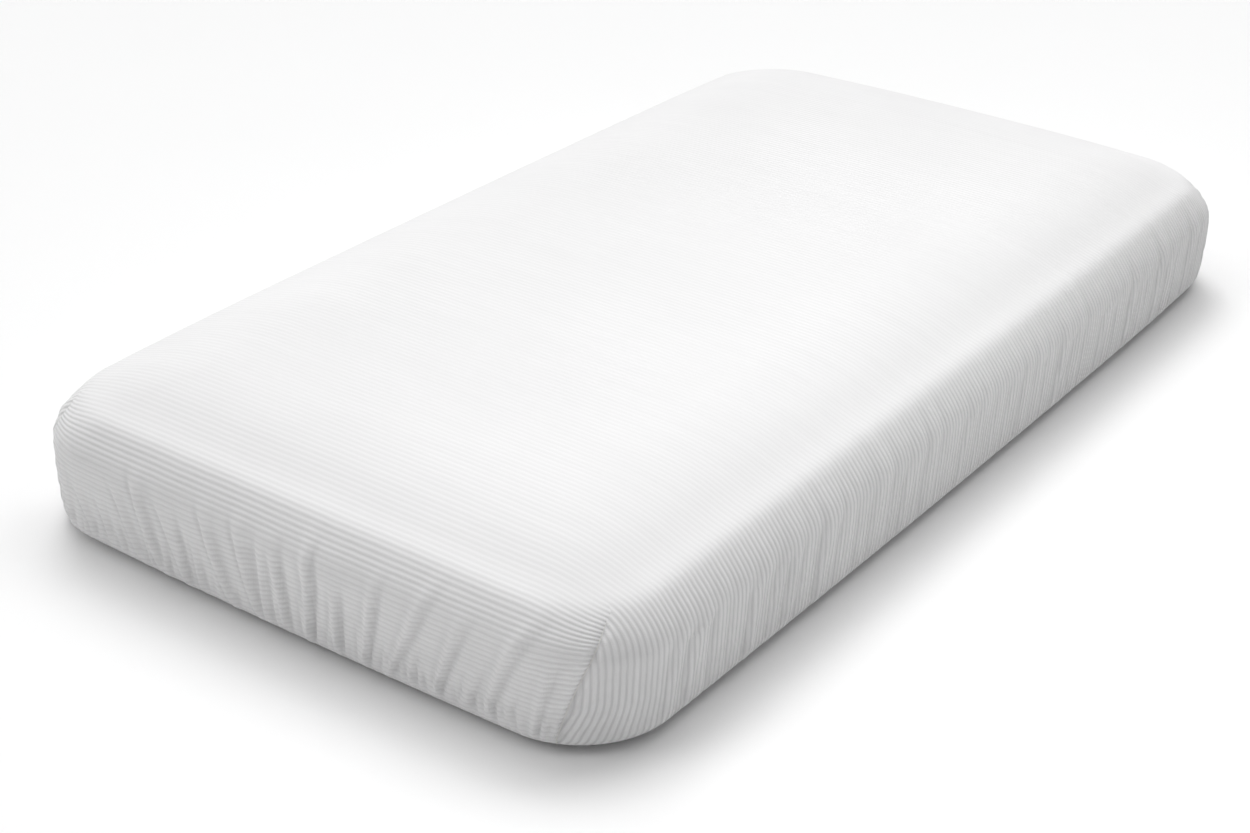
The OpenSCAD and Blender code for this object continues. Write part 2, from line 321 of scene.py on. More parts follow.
def mat_weave(name, c0, c1, pitch, depth, rough=(0.75, 0.95), axes=(0, 1), sheen=0.15, kind="plain", groove=0.5):
    """A procedural cloth: two thread sets read in object space, with grain, slow colour change and painted shade
    between the threads.
    """
    m = Nodes(name)
    ob = m.coord()
    p = m.xyz(ob)
    k = 2 * math.pi * 1000.0 / pitch
    a = m.math("SINE", m.math("MULTIPLY", p[axes[0]], k))
    b = m.math("SINE", m.math("MULTIPLY", p[axes[1]], k))
    if kind == "herring":
        fold = m.math("PINGPONG", p[axes[0]], pitch * 3 * MM)
        a = m.math("SINE", m.math("MULTIPLY", m.math("ADD", p[axes[1]], fold), k))
        b = m.math("SINE", m.math("MULTIPLY", p[axes[1]], k * 0.5))
        w = m.math("ADD", m.math("MULTIPLY", a, 0.7), m.math("MULTIPLY", b, 0.2))
    elif kind == "rib":
        w = m.math("ADD", m.math("MULTIPLY", a, 0.8), m.math("MULTIPLY", b, 0.12))
    else:
        w = m.math("MULTIPLY", a, b)
    w = m.math("MULTIPLY", m.math("ADD", w, 1.0), 0.5)
    grain = m.noise(ob, 900.0, 3.0, 0.6)
    cloud = m.noise(ob, 7.0, 3.0)
    col = m.mix(m.maprange(cloud, 0.3, 0.7, 0.0, 1.0), c0, c1)
    # painted shade: the colour is darkened in the gaps between the threads; the same dark colour serves the random
    # grain
    dark = tuple(x * groove for x in c0)
    col = m.mix(m.maprange(w, 0.0, 0.5, 0.35, 0.0), col, dark)
    col = m.mix(m.maprange(grain, 0.4, 0.7, 0.0, 0.18), col, dark)
    h = m.math("ADD", m.math("MULTIPLY", w, 1.0), m.math("MULTIPLY", grain, 0.35))
    return m.done(col, m.maprange(m.math("ADD", grain, w), 0.4, 1.6, rough[1], rough[0]), m.bump(h, 0.8, depth * MM),
                  Sheen_Weight=sheen, Sheen_Roughness=0.4, Specular_IOR_Level=0.25)


def mat_spacer():
    """Spacer mesh: staggered oval holes in a smooth knit."""
    m = Nodes("spacer_mesh")
    ob = m.coord()
    p = m.xyz(ob)
    row = m.math("FLOOR", m.math("MULTIPLY", p[1], 1000.0 / 3.6))
    odd = m.math("MULTIPLY", m.math("MODULO", m.math("ABSOLUTE", row), 2.0), 0.5)
    fx = m.math("SUBTRACT", m.math("FRACT", m.math("ADD", m.math("MULTIPLY", p[0], 1000.0 / 4.2), odd)), 0.5)
    fy = m.math("SUBTRACT", m.math("FRACT", m.math("MULTIPLY", p[1], 1000.0 / 3.6)), 0.5)
    r = m.math("SQRT", m.math("ADD", m.math("POWER", m.math("ABSOLUTE", m.math("MULTIPLY", fx, 1.0)), 2.0),
                              m.math("POWER", m.math("ABSOLUTE", m.math("MULTIPLY", fy, 1.25)), 2.0)))
    hole = m.maprange(r, 0.20, 0.34, 0.0, 1.0)
    grain = m.noise(ob, 1000.0, 3.0, 0.6)
    cloud = m.noise(ob, 6.0, 3.0)
    col = m.mix(m.maprange(cloud, 0.3, 0.7, 0.0, 1.0), (0.74, 0.74, 0.72), (0.79, 0.79, 0.77))
    # painted shade: the holes are coloured dark
    col = m.mix(hole, (0.42, 0.42, 0.41), col)
    col = m.mix(m.maprange(grain, 0.4, 0.7, 0.0, 0.15), col, (0.5, 0.5, 0.49))
    h = m.math("ADD", hole, m.math("MULTIPLY", grain, 0.25))
    return m.done(col, m.maprange(grain, 0.3, 0.7, 0.72, 0.92), m.bump(h, 0.9, 0.0006),
                  Sheen_Weight=0.15, Sheen_Roughness=0.4, Specular_IOR_Level=0.3)


def mat_foam(name, c0, c1, cell, depth):
    m = Nodes(name)
    ob = m.coord()
    cells = m.voronoi(ob, 1000.0 / cell)
    big = m.voronoi(ob, 1000.0 / (cell * 2.7))
    cloud = m.noise(ob, 8.0, 4.0)
    col = m.mix(m.maprange(cloud, 0.3, 0.7, 0.0, 1.0), c0, c1)
    # painted shade: the colour is darkened in the open cells
    pore = m.maprange(cells, 0.05, 0.45, 0.45, 0.0)
    col = m.mix(pore, col, tuple(x * 0.62 for x in c0))
    h = m.math("ADD", m.math("MULTIPLY", cells, 1.0), m.math("MULTIPLY", big, 0.6))
    return m.done(col, m.maprange(cells, 0.0, 0.7, 0.98, 0.82), m.bump(h, 0.8, depth * MM),
                  Subsurface_Weight=0.0, Specular_IOR_Level=0.2)


def mat_glue():
    m = Nodes("adhesive")
    ob = m.coord()
    web = m.voronoi(ob, 60.0, "DISTANCE_TO_EDGE")
    n = m.noise(ob, 30.0, 4.0, 0.6, 0.6)
    col = m.mix(m.maprange(n, 0.3, 0.7, 0.0, 1.0), (0.80, 0.74, 0.55), (0.88, 0.84, 0.68))
    h = m.math("ADD", m.maprange(web, 0.0, 0.12, 1.0, 0.0), m.math("MULTIPLY", n, 0.6))
    return m.done(col, m.maprange(n, 0.3, 0.7, 0.30, 0.55), m.bump(h, 0.7, 0.0004), Coat_Weight=0.15,
                  Coat_Roughness=0.35, Specular_IOR_Level=0.4)


def mat_metal(name="die_cast_zinc"):
    m = Nodes(name)
    ob = m.coord()
    n = m.noise(ob, 420.0, 4.0, 0.6)
    s = m.noise(m.scale(ob, (1.0, 8.0, 1.0)), 300.0, 3.0, 0.6)
    col = m.mix(m.maprange(n, 0.3, 0.7, 0.0, 1.0), (0.62, 0.63, 0.65), (0.72, 0.73, 0.74))
    rough = m.maprange(m.math("ADD", n, s), 0.7, 1.3, 0.22, 0.42)
    return m.done(col, rough, m.bump(m.math("ADD", n, s), 0.25, 0.00008), Metallic=1.0)


def mat_moulded(name="acetal"):
    m = Nodes(name)
    ob = m.coord()
    n = m.noise(ob, 700.0, 3.0, 0.5)
    c = m.noise(ob, 12.0, 2.0)
    col = m.mix(m.maprange(c, 0.3, 0.7, 0.0, 1.0), (0.80, 0.80, 0.79), (0.86, 0.86, 0.85))
    return m.done(col, m.maprange(n, 0.3, 0.7, 0.28, 0.44), m.bump(n, 0.3, 0.00006), Specular_IOR_Level=0.5)


def mat_thread(name="thread", c=(0.80, 0.79, 0.77)):
    m = Nodes(name)
    ob = m.coord()
    p = m.xyz(ob)
    tw = m.math("SINE", m.math("MULTIPLY", m.math("ADD", m.math("ADD", p[0], p[1]), p[2]), 2 * math.pi * 1000.0 / 0.7))
    n = m.noise(ob, 1500.0, 2.0)
    # painted shade in the grooves of the twist
    col = m.mix(m.maprange(tw, -1.0, 1.0, 0.35, 0.0), c, tuple(x * 0.7 for x in c))
    col = m.mix(m.maprange(n, 0.3, 0.7, 0.0, 0.2), col, tuple(x * 0.85 for x in c))
    return m.done(col, m.maprange(n, 0.3, 0.7, 0.5, 0.7), m.bump(m.math("ADD", tw, n), 0.5, 0.0001),
                  Sheen_Weight=0.2, Sheen_Roughness=0.3, Specular_IOR_Level=0.35)


M_SHEET = mat_ribbed()
M_THREAD = mat_thread()
M_ELASTIC = mat_weave("braided_elastic", (0.80, 0.78, 0.74), (0.84, 0.82, 0.79), 1.3, 0.25, kind="herring")
M_LABEL = mat_weave("satin_label", (0.84, 0.84, 0.84), (0.88, 0.88, 0.88), 0.7, 0.06, rough=(0.35, 0.55), kind="rib", groove=0.85)
M_COVER = mat_weave("stretch_knit", (0.80, 0.80, 0.79), (0.85, 0.85, 0.84), 2.4, 0.45, kind="plain", groove=0.75)
M_BIND = mat_weave("seam_binding", (0.74, 0.74, 0.72), (0.79, 0.79, 0.77), 1.2, 0.25, kind="herring", groove=0.7)
M_SPACER = mat_spacer()
M_SOCK = mat_weave("fire_sock_tube_knit", (0.79, 0.79, 0.77), (0.84, 0.84, 0.82), 1.8, 0.35, kind="rib", groove=0.7)
M_CORE = mat_foam("polyurethane_foam", (0.80, 0.77, 0.66), (0.86, 0.83, 0.73), 1.4, 0.5)
M_MEMORY = mat_foam("memory_foam", (0.86, 0.82, 0.70), (0.90, 0.87, 0.77), 0.8, 0.25)
M_GLUE = mat_glue()
M_TAPE = mat_weave("zip_tape_twill", (0.76, 0.76, 0.75), (0.80, 0.80, 0.79), 0.9, 0.12, kind="herring", groove=0.75)
M_TEETH = mat_moulded()
M_METAL = mat_metal()

# ------------------------------------------------------- the dressed shape ----
W, L, H = 706.0, 1311.0, 158.6
R, AT, BT, AB, BB = 94.9, 153.8, 68.6, 19.9, 86.8
CROWN, BOW, DROP, KD = 5.65, 6.33, 6.5, 155.7
HEM_X, HEM_Y, HEM_R, CASE_W, CASE_H = 276.0, 581.0, 90.0, 12.0, 4.6


def deform(P):
    x, y, z = P[..., 0], P[..., 1], P[..., 2]
    ux = 1 - (y / (L / 2)) ** 2
    uy = 1 - (x / (W / 2)) ** 2
    X = x + np.sign(x) * BOW * ux * (np.abs(x) / (W / 2)) ** 4
    Y = y + np.sign(y) * BOW * uy * (np.abs(y) / (L / 2)) ** 4
    cx = np.exp(-(((W / 2 - np.abs(x)) / KD) ** 2))
    cy = np.exp(-(((L / 2 - np.abs(y)) / KD) ** 2))
    Z = z + CROWN * ux * uy * (z / H) ** 4 - DROP * cx * cy * (z / H) ** 3
    far = 3.8 * cx * cy * ((x > 0) & (y > 0)) - 1.5 * cx * cy * ((x < 0) & (y < 0))
    X, Y = X - far, Y - far
    return np.stack([X, Y, Z], -1)


def even(f, n, a=0.0, b=90.0):
    """n+1 parameters between a and b, evenly spaced along the curve f(t) -> (d, z)."""
    t = np.linspace(a, b, 721)
    d, z = f(np.radians(t))
    s = np.concatenate([[0], np.cumsum(np.hypot(np.diff(d), np.diff(z)))])
    return np.interp(np.linspace(0, s[-1], n + 1), s, t)


def top_rows(o, n, a=0.0, b=90.0):
    f = lambda t: (AT - (AT - o) * np.sin(t), H - BT + (BT - o) * np.cos(t))
    return np.stack(f(np.radians(even(f, n, a, b))), 1)


def low_rows(o, zb, n, a=0.0, b=90.0):
    f = lambda t: (AB - (AB - o) * np.cos(t), BB - (BB - zb) * np.sin(t))
    return np.stack(f(np.radians(even(f, n, a, b))), 1)


def columns(ny, nx, nc):
    """Column data, anticlockwise from the +X side: SX, SY, kind (0 side, 1 end, 2 corner), signs, fraction."""
    c = []
    for k in range(ny + 1):
        c.append((1, -1 + 2 * k / ny, 0, 1, 0, 0))
    for k in range(1, nc):
        c.append((1, 1, 2, 1, 1, k / nc))
    for k in range(nx + 1):
        c.append((1 - 2 * k / nx, 1, 1, 0, 1, 0))
    for k in range(1, nc):
        c.append((-1, 1, 2, -1, 1, 1 - k / nc))
    for k in range(ny + 1):
        c.append((-1, 1 - 2 * k / ny, 0, -1, 0, 0))
    for k in range(1, nc):
        c.append((-1, -1, 2, -1, -1, k / nc))
    for k in range(nx + 1):
        c.append((-1 + 2 * k / nx, -1, 1, 0, -1, 0))
    for k in range(1, nc):
        c.append((1, -1, 2, 1, -1, 1 - k / nc))
    return np.array(c, float)


def seam_angle(z):
    """Where the mitre seam lies round the corner, in degrees from the long side."""
    return 36 + 30 * np.clip((126 - z) / 110.0, 0, 1) ** 0.62


def rings(C, d, r, z, warp=True):
    """(rows, cols, 3) base points of the rings (d, r, z)."""
    d, r, z = (np.asarray(v, float)[:, None] for v in (d, r, z))
    sx, sy, kind, ex, ey, f = (C[:, k][None] for k in range(6))
    hx, hy = W / 2 - d - r, L / 2 - d - r
    ps = seam_angle(z) if warp else 45.0 + 0 * z
    th = np.where(f <= 0.5, ps * 2 * f, ps + (90 - ps) * (2 * f - 1))
    dx = np.where(kind == 2, ex * np.cos(np.radians(th)), np.where(kind == 0, ex, 0.0))
    dy = np.where(kind == 2, ey * np.sin(np.radians(th)), np.where(kind == 1, ey, 0.0))
    x = sx * hx + dx * r
    y = sy * hy + dy * r
    return np.stack([x, y, z + 0 * x], -1), np.radians(th) + 0 * x


def ring_quads(nr, N, base=0):
    i, j = np.meshgrid(np.arange(nr - 1), np.arange(N), indexing="ij")
    a = base + i * N + j
    b = base + (i + 1) * N + j
    c = base + (i + 1) * N + (j + 1) % N
    d = base + i * N + (j + 1) % N
    return np.stack([a, b, c, d], -1).reshape(-1, 4)


def lid(ny, nx, nc, ring0, grid0, half, up=True):
    """Joins a ring (index ring0) to a grid (index grid0) that has half (or all) its side divisions."""
    gx, gy = nx // half, ny // half
    g = lambda a, b: grid0 + a * (gy + 1) + b
    sides = [([g(gx, k) for k in range(gy + 1)], ny), ([g(gx - k, gy) for k in range(gx + 1)], nx),
             ([g(0, gy - k) for k in range(gy + 1)], ny), ([g(k, 0) for k in range(gx + 1)], nx)]
    # starts of each side in the column order
    s0, s1 = 0, ny + 1 + (nc - 1)
    s2 = s1 + nx + 1 + (nc - 1)
    s3 = s2 + ny + 1 + (nc - 1)
    N = s3 + nx + 1 + (nc - 1)
    starts = [s0, s1, s2, s3]
    T, Q = [], []
    for (pts, n), s in zip(sides, starts):
        for k in range(n // half):
            if half == 2:
                a, b, c = (ring0 + s + 2 * k + e for e in (0, 1, 2))
                p, q = pts[k], pts[k + 1]
                T += [(a, b, p), (b, q, p), (b, c, q)]
            else:
                Q.append((pts[k], ring0 + s + k, ring0 + s + k + 1, pts[k + 1]))
        for k in range(nc):
            T.append((ring0 + (s + n + k) % N, ring0 + (s + n + k + 1) % N, pts[-1]))
    for a in range(gx):
        for b in range(gy):
            Q.append((g(a, b), g(a + 1, b), g(a + 1, b + 1), g(a, b + 1)))
    T, Q = np.array(T), np.array(Q)
    if not up:
        T, Q = T[:, ::-1], Q[:, ::-1]
    return T, Q


def grid_pts(hx, hy, gx, gy, z):
    x, y = np.meshgrid(np.linspace(-hx, hx, gx + 1), np.linspace(-hy, hy, gy + 1), indexing="ij")
    return np.stack([x, y, np.full_like(x, z)], -1).reshape(-1, 3)


# -------------------------------------------------------------------- folds ----
# Valleys on the near end: (x, z) down the cloth, depth, ridge height, ridge side, half width
END_FOLDS = [
    ([(-270, 58), (-254, 29)], 0.7, 1.2, 1, 4.0), ([(-217, 80), (-197, 40), (-186, 16)], 0.8, 1.6, 1, 4.2),
    ([(-192, 97), (-175, 55), (-155, 12)], 1.3, 2.6, 1, 4.6), ([(-157, 85), (-135, 40), (-124, 18)], 0.8, 1.6, 1, 4.2),
    ([(-127, 80), (-115, 30)], 0.7, 1.4, -1, 4.0), ([(-102, 95), (-85, 55), (-67, 17)], 1.3, 2.6, 1, 4.6),
    ([(-60, 97), (-45, 48), (-35, 20)], 1.3, 2.4, 1, 4.6), ([(-30, 93), (-25, 34)], 0.8, 1.6, 1, 4.2),
    ([(2, 97), (10, 25)], 0.8, 1.8, -1, 4.2), ([(40, 104), (42, 73), (37, 26)], 1.1, 2.0, -1, 3.9),
    ([(72, 76), (71, 22)], 1.0, 1.9, -1, 3.8), ([(117, 100), (110, 63), (102, 22)], 0.8, 1.5, -1, 3.8),
    ([(172, 108), (160, 80), (142, 44), (130, 22)], 0.6, 1.3, -1, 4.0),
    ([(212, 98), (195, 58), (180, 20)], 0.8, 1.4, -1, 4.0), ([(275, 114), (255, 73), (239, 34)], 0.6, 1.2, -1, 4.2),
    ([(-240, 60), (-228, 26)], 0.5, 0.9, 1, 3.6), ([(-98, 45), (-92, 18)], 0.5, 0.9, -1, 3.4),
    ([(20, 50), (24, 16)], 0.5, 0.9, 1, 3.4), ([(56, 52), (52, 14)], 0.5, 0.8, 1, 3.2),
    ([(88, 48), (86, 14)], 0.5, 0.9, 1, 3.4), ([(228, 60), (214, 22)], 0.6, 1.0, -1, 3.6),
    ([(300, 90), (286, 44)], 0.4, 0.8, -1, 3.6), ([(-300, 84), (-288, 40)], 0.5, 1.0, 1, 3.8),
    ([(-178, 48), (-168, 14)], 0.6, 1.1, 1, 3.2), ([(-146, 52), (-139, 14)], 0.5, 1.0, -1, 3.2), ([(-112, 58), (-103, 14)], 0.6, 1.1, 1, 3.2),
    ([(-78, 52), (-68, 12)], 0.6, 1.0, -1, 3.2), ([(-12, 56), (-8, 12)], 0.6, 1.1, 1, 3.2), ([(119, 44), (114, 12)], 0.5, 0.9, 1, 3.0),
    ([(158, 50), (150, 12)], 0.6, 1.0, -1, 3.2), ([(206, 46), (198, 12)], 0.5, 0.9, 1, 3.0), ([(262, 48), (252, 14)], 0.5, 0.9, -1, 3.2),
    ([(287, 40), (279, 12)], 0.5, 0.9, 1, 3.0), ([(-210, 50), (-200, 14)], 0.5, 0.9, -1, 3.2), ([(318, 44), (312, 14)], 0.5, 0.9, 1, 3.0),
]
# Folds on the near long side: y where they reach mid height, strength
SIDE_FOLDS = [(-570, 1.0), (-544, 1.5), (-509, 1.0), (-480, 0.7), (-448, 1.5), (-413, 1.0), (-388, 0.6), (-365, 1.0), (-333, 1.4),
              (-301, 0.9), (-268, 0.5), (-240, 0.5), (-205, 0.9), (-179, 0.8), (-141, 0.9), (-109, 0.8), (-61, 0.8), (-30, 0.45),
              (5, 0.4), (36, 0.45), (67, 0.8), (95, 0.5), (122, 0.8), (157, 1.3), (186, 0.9), (218, 0.9), (262, 1.0), (301, 1.0),
              (339, 1.4), (384, 1.1), (416, 1.4), (445, 0.9), (474, 1.4), (512, 1.1), (545, 1.2), (580, 1.1), (612, 0.9)]


FOLD = 1.9


def fold_line(u, z, pts, a, b, side, w, top_fade=20.0):
    zs = np.array([p[1] for p in pts], float)[::-1]
    us = np.array([p[0] for p in pts], float)[::-1]
    uc = np.interp(z, zs, us)
    hi = (us[-1] - us[-2]) / (zs[-1] - zs[-2])
    lo = (us[1] - us[0]) / (zs[1] - zs[0])
    uc = np.where(z > zs[-1], us[-1] + hi * (z - zs[-1]), uc)
    uc = np.where(z < zs[0], us[0] + lo * 0.5 * (z - zs[0]), uc)
    wt = smooth((zs[-1] + top_fade - z) / (top_fade + 30.0)) * smooth((z + 4) / 14.0)
    spread = 0.85 + 0.6 * np.clip((z - 40) / 60.0, 0, 1)
    t = (u - uc) / spread
    return wt * FOLD * (-a * np.exp(-((t / (0.75 * w)) ** 2)) + b * np.exp(-(((t - side * 1.6 * w) / (1.15 * w)) ** 2)))


def end_disp(x, z, flip, seed):
    D = np.zeros_like(x)
    rs = np.random.RandomState(seed)
    for pts, a, b, side, w in END_FOLDS:
        if flip:
            j, g = rs.uniform(-9, 9), rs.uniform(0.75, 1.1)
            D += 1.35 * fold_line(-x + j, z, pts, a * g, b * g, side, w)
        else:
            D += 1.35 * fold_line(x, z, pts, a, b, side, w)
    low = smooth((46 - z) / 30.0) * smooth((z + 6) / 14.0)
    ph = value_noise(x / 37.0, z / 60.0, seed + 5) * 2.2
    D += low * 1.9 * (0.34 + 0.26 * smooth((x - 20) / 60.0) + 0.28 * value_noise(x / 40.0, z * 0, seed + 8)) * (
        np.sin(x * 2 * np.pi / 10.5 + ph) + 0.35 * np.sin(x * 2 * np.pi / 6.9 + 1.7 * ph))
    D += 0.35 * value_noise(x / 34.0, z / 42.0, seed + 3) * smooth((124 - z) / 40.0)
    return D


def side_disp(y, z, flip, seed):
    D = np.zeros_like(y)
    rs = np.random.RandomState(seed)
    yy = -y if flip else y
    for k, (y0, g) in enumerate(SIDE_FOLDS):
        lean = rs.uniform(7, 15)
        top = rs.uniform(84, 112)
        bend = rs.uniform(-5, 5)
        side = 1 if rs.uniform() < 0.6 else -1
        w = rs.uniform(5.5, 8.0)
        j = rs.uniform(-7, 7) if flip else 0.0
        pts = [(y0 + j + lean, top), (y0 + j + lean * 0.35, 82), (y0 + j, 50), (y0 + j + bend, 14)]
        D += fold_line(yy, z, pts, 0.62 * g, 0.85 * g, side, 0.85 * w, 34.0)
    low = smooth((40 - z) / 30.0) * smooth((z + 6) / 14.0)
    ph = value_noise(yy / 43.0, z / 60.0, seed + 5) * 2.4
    D += low * (0.28 + 0.2 * value_noise(yy / 60.0, z * 0, seed + 8)) * np.sin(yy * 2 * np.pi / 13.0 + ph)
    D += 0.45 * value_noise(yy / 38.0, z / 60.0, seed + 3) * smooth((130 - z) / 40.0)
    return D


# -------------------------------------------------------------- fitted sheet ----
NY, NX, NC = 280, 200, 40
C = columns(NY, NX, NC)
N = len(C)
top = top_rows(0, 32)[1:]
EDGE_D, EDGE_Z = 14.0, 6.0  # the lower edge of the sheet, just clear of what it lies on
za = np.linspace(BB, EDGE_Z + 14.0, 40)
ph_ = np.radians(np.linspace(0, 90, 40))[1:]
prof = np.concatenate([np.stack([2.5 * ((BB - za) / (BB - EDGE_Z - 14.0)) ** 1.8, za], 1),
                       np.stack([EDGE_D - 11.5 * np.cos(ph_), EDGE_Z + 14.0 - 14.0 * np.sin(ph_)], 1)])
sp = np.concatenate([[0], np.cumsum(np.hypot(*np.diff(prof, axis=0).T))])
at = np.concatenate([np.linspace(0, 66.0, 17)[:-1], np.linspace(66.0, sp[-1], 9)])
low = np.stack([np.interp(at, sp, prof[:, 0]), np.interp(at, sp, prof[:, 1])], 1)
fd = np.concatenate([EDGE_D + np.array([3.0, 6.5, 10.0, 14.0]), np.linspace(EDGE_D + 14.0, 67.5, 7)[1:]])
fz = 0.3 + (EDGE_Z - 0.3) * (1 - smooth((fd - EDGE_D + 1.0) / 15.0))
rows_d = np.concatenate([top[:, 0], low[:, 0], fd])
rows_z = np.concatenate([top[:, 1], low[:, 1], fz])
is_low = np.concatenate([np.zeros(len(top), bool), np.ones(len(low) + len(fd), bool)])
rows_r = np.where(is_low, R - rows_d, R - R / AT * rows_d)
k = smooth((rows_d - EDGE_D) / (67.5 - EDGE_D)) * (np.arange(len(rows_d)) >= len(top) + len(low))
rows_r = rows_r * (1 - k) + (HEM_R + CASE_W) * k
NR = len(rows_d)
arc = np.concatenate([[0], np.cumsum(np.hypot(np.diff(np.concatenate([[AT], rows_d])), np.diff(np.concatenate([[H], rows_z]))))])[1:]
P, TH = rings(C, rows_d, rows_r, rows_z)
GX, GY = NX // 2, NY // 2
G = grid_pts(W / 2 - AT, L / 2 - AT, GX, GY, H)
V0 = np.concatenate([P.reshape(-1, 3), G])
T1, Q1 = lid(NY, NX, NC, 0, NR * N, 2)
quads = np.concatenate([ring_quads(NR, N), Q1])
tris = T1
V = deform(V0)
nrm = vert_normals(V, quads, tris)

kind, ex, ey, fr = C[:, 2], C[:, 3], C[:, 4], C[:, 5]
hx = (W / 2 - rows_d - rows_r)[:, None]
hy = (L / 2 - rows_d - rows_r)[:, None]
zz = rows_z[:, None] + 0 * P[..., 0]
corner = (kind == 2)[None] & np.ones((NR, 1), bool)
# distance along each face, carried on round the corner
y_eff = np.where(corner, ey[None] * (hy + rows_r[:, None] * TH), P[..., 1])
x_eff = np.where(corner, ex[None] * (hx + rows_r[:, None] * (np.pi / 2 - TH)), P[..., 0])
D = np.zeros((NR, N))
for sgn, flip, seed in ((-1, False, 11), (1, True, 23)):
    on_end = ((kind == 1) & (ey == sgn)) | ((kind == 2) & (ey == sgn))
    w = np.where(kind == 2, smooth((fr - 0.40) / 0.16), 1.0)
    D[:, on_end] += (end_disp(x_eff, zz, flip, seed) * w[None])[:, on_end]
for sgn, flip, seed in ((1, False, 37), (-1, True, 53)):
    on_side = ((kind == 0) & (ex == sgn)) | ((kind == 2) & (ex == sgn))
    w = np.where(kind == 2, 1 - smooth((fr - 0.44) / 0.16), 1.0)
    D[:, on_side] += (side_disp(y_eff, zz, flip, seed) * w[None])[:, on_side]
# the pinch of the mitre seam
sd = (fr - 0.5)[None] * 2 * np.where(fr < 0.5, TH[:, :] * 0 + 1, 1) * rows_r[:, None] * 0.8
seam_on = smooth((127 - zz) / 14.0)
D += np.where(corner, seam_on * (-1.8 * np.exp(-((sd / 3.0) ** 2)) + 0.7 * np.exp(-(((np.abs(sd) - 8.0) / 4.5) ** 2))), 0)
D -= (0.35 + 0.35 * smooth((64 - zz) / 30.0)) * seam_on * np.where(corner, np.exp(-((sd / 26.0) ** 2)), 0) * np.sin(zz / 2.6 + fr[None] * 26)
# ruffles where the hem gathers under the edge
under = np.clip((rows_d - EDGE_D - 6) / (61.5 - EDGE_D), 0, 1) * (np.arange(NR) >= len(top) + len(low))
per = np.concatenate([[0], np.cumsum(np.linalg.norm(np.diff(P[-1], axis=0), axis=1))])
ruf = np.sin(per * 2 * np.pi / 12.0 + 1.8 * value_noise(per / 55.0, per * 0, 71)) * (0.75 + 0.45 * value_noise(per / 30.0, per * 0, 72))
# slack on the sleeping surface
slack = lambda x, y: (0.30 * value_noise(x / 95.0 + 7, y / 70.0, 81) + 0.16 * value_noise(x / 120.0, y / 26.0, 82)
                      + 0.07 * value_noise(x / 70.0, y / 11.0, 83))
topmask = smooth((rows_z[:, None] - 118) / 30.0)
D += slack(P[..., 0], P[..., 1]) * topmask
# the cloth lies tight on the edge of the underside, and over the cover's shoulder seam
D *= smooth((zz - 6.5) / 20.0)
near_corner = np.where(corner, 1 - 0.45 * np.sin(2 * TH), 1.0)
D += near_corner * (3.1 * np.exp(-(((arc[:, None] - 132) / 12.8) ** 2)) - 1.0 * np.exp(-(((arc[:, None] - 100) / 20.0) ** 2))
                    - 0.3 * np.exp(-(((arc[:, None] - 162) / 16.0) ** 2)))
D = np.clip(D, -3.1, 5.2)
kern = np.hanning(13)
kern /= kern.sum()
Dm = np.stack([np.convolve(np.concatenate([r_[-6:], r_, r_[:6]]), kern, "valid") for r_ in D])
# painted shade: the sheet's colour is darkened in the fold valleys, where the cloth lies below its local mean
painted_shade = np.clip((Dm - D) / 1.1, -0.6, 1.0)
# painted shadow: a dark band along the sheet's lower edge, where it meets the floor
painted_shade = np.maximum(painted_shade, smooth((EDGE_Z + 5 - zz) / 6.0) * 1.5 * np.ones_like(D))
# painted shade along the pinch of the mitre seams
painted_shade = np.maximum(painted_shade, np.where(corner, seam_on * 1.1 * np.exp(-((sd / 2.4) ** 2)), 0))
Dall = np.concatenate([D.ravel(), slack(G[:, 0], G[:, 1])])
V = V + nrm * Dall[:, None]
Vr = V[:NR * N].reshape(NR, N, 3)
Vr[..., 2] += under[:, None] * 1.7 * (1 + ruf[None]) * 0.8
V[:NR * N] = Vr.reshape(-1, 3)
V[:, 2] = np.maximum(V[:, 2], 0.25)
sheet_me = mesh_np("fitted_sheet_ribbed", V, quads, tris)

# cloth coordinates in metres: across the ribs, along the ribs
E = L / 2 - AT + arc + 0.18 * 40 * np.log1p(np.exp((arc - 110) / 40.0))
E = (E - 0.18 * 40 * np.log1p(np.exp(-110 / 40.0)))[:, None]
wseam = smooth((134 - zz) / 40.0)
hyw = (L / 2 - rows_d - np.where(is_low, R - rows_d, rows_r))[:, None]
th_m = TH * (1 - 0.15 * smooth((56 - zz) / 50.0))
sgy = np.where(kind == 2, ey, np.where(kind == 1, ey, 0))[None]
qs = np.where(corner, sgy * (hy + (1 - wseam) * (E - hy) * np.sin(TH) + wseam * rows_r[:, None] * th_m), P[..., 1])
qe = np.where(corner, sgy * ((1 - wseam) * (hy + (E - hy) * np.sin(TH)) + wseam * E), np.where((kind == 1)[None], ey[None] * E, P[..., 1]))
va = arc[:, None] + (W / 2 - AT)
vs = np.where(corner, ex[None] * va, np.where((kind == 0)[None], ex[None] * va, P[..., 0]))
ve = np.where(corner, x_eff, P[..., 0])
QS = np.concatenate([qs.ravel(), G[:, 1]])
QE = np.concatenate([qe.ravel(), G[:, 1]])
VS = np.concatenate([vs.ravel(), G[:, 0]])
VE = np.concatenate([ve.ravel(), G[:, 0]])
fq = (fr + np.roll(fr, -1)) / 2
k0, k1 = kind, np.roll(kind, -1)
quad_end = np.where((k0 == 1) & (k1 == 1), True, np.where((k0 == 0) & (k1 == 0), False, False))
for j in range(N):
    a, b = j, (j + 1) % N
    if kind[a] == 2 and kind[b] == 2:
        quad_end[j] = (fr[a] + fr[b]) / 2 > 0.5
    elif kind[a] == 2 or kind[b] == 2:
        quad_end[j] = (1 in (kind[a], kind[b]))
endmask = np.concatenate([np.tile(quad_end, NR - 1), np.zeros(len(Q1), bool)])
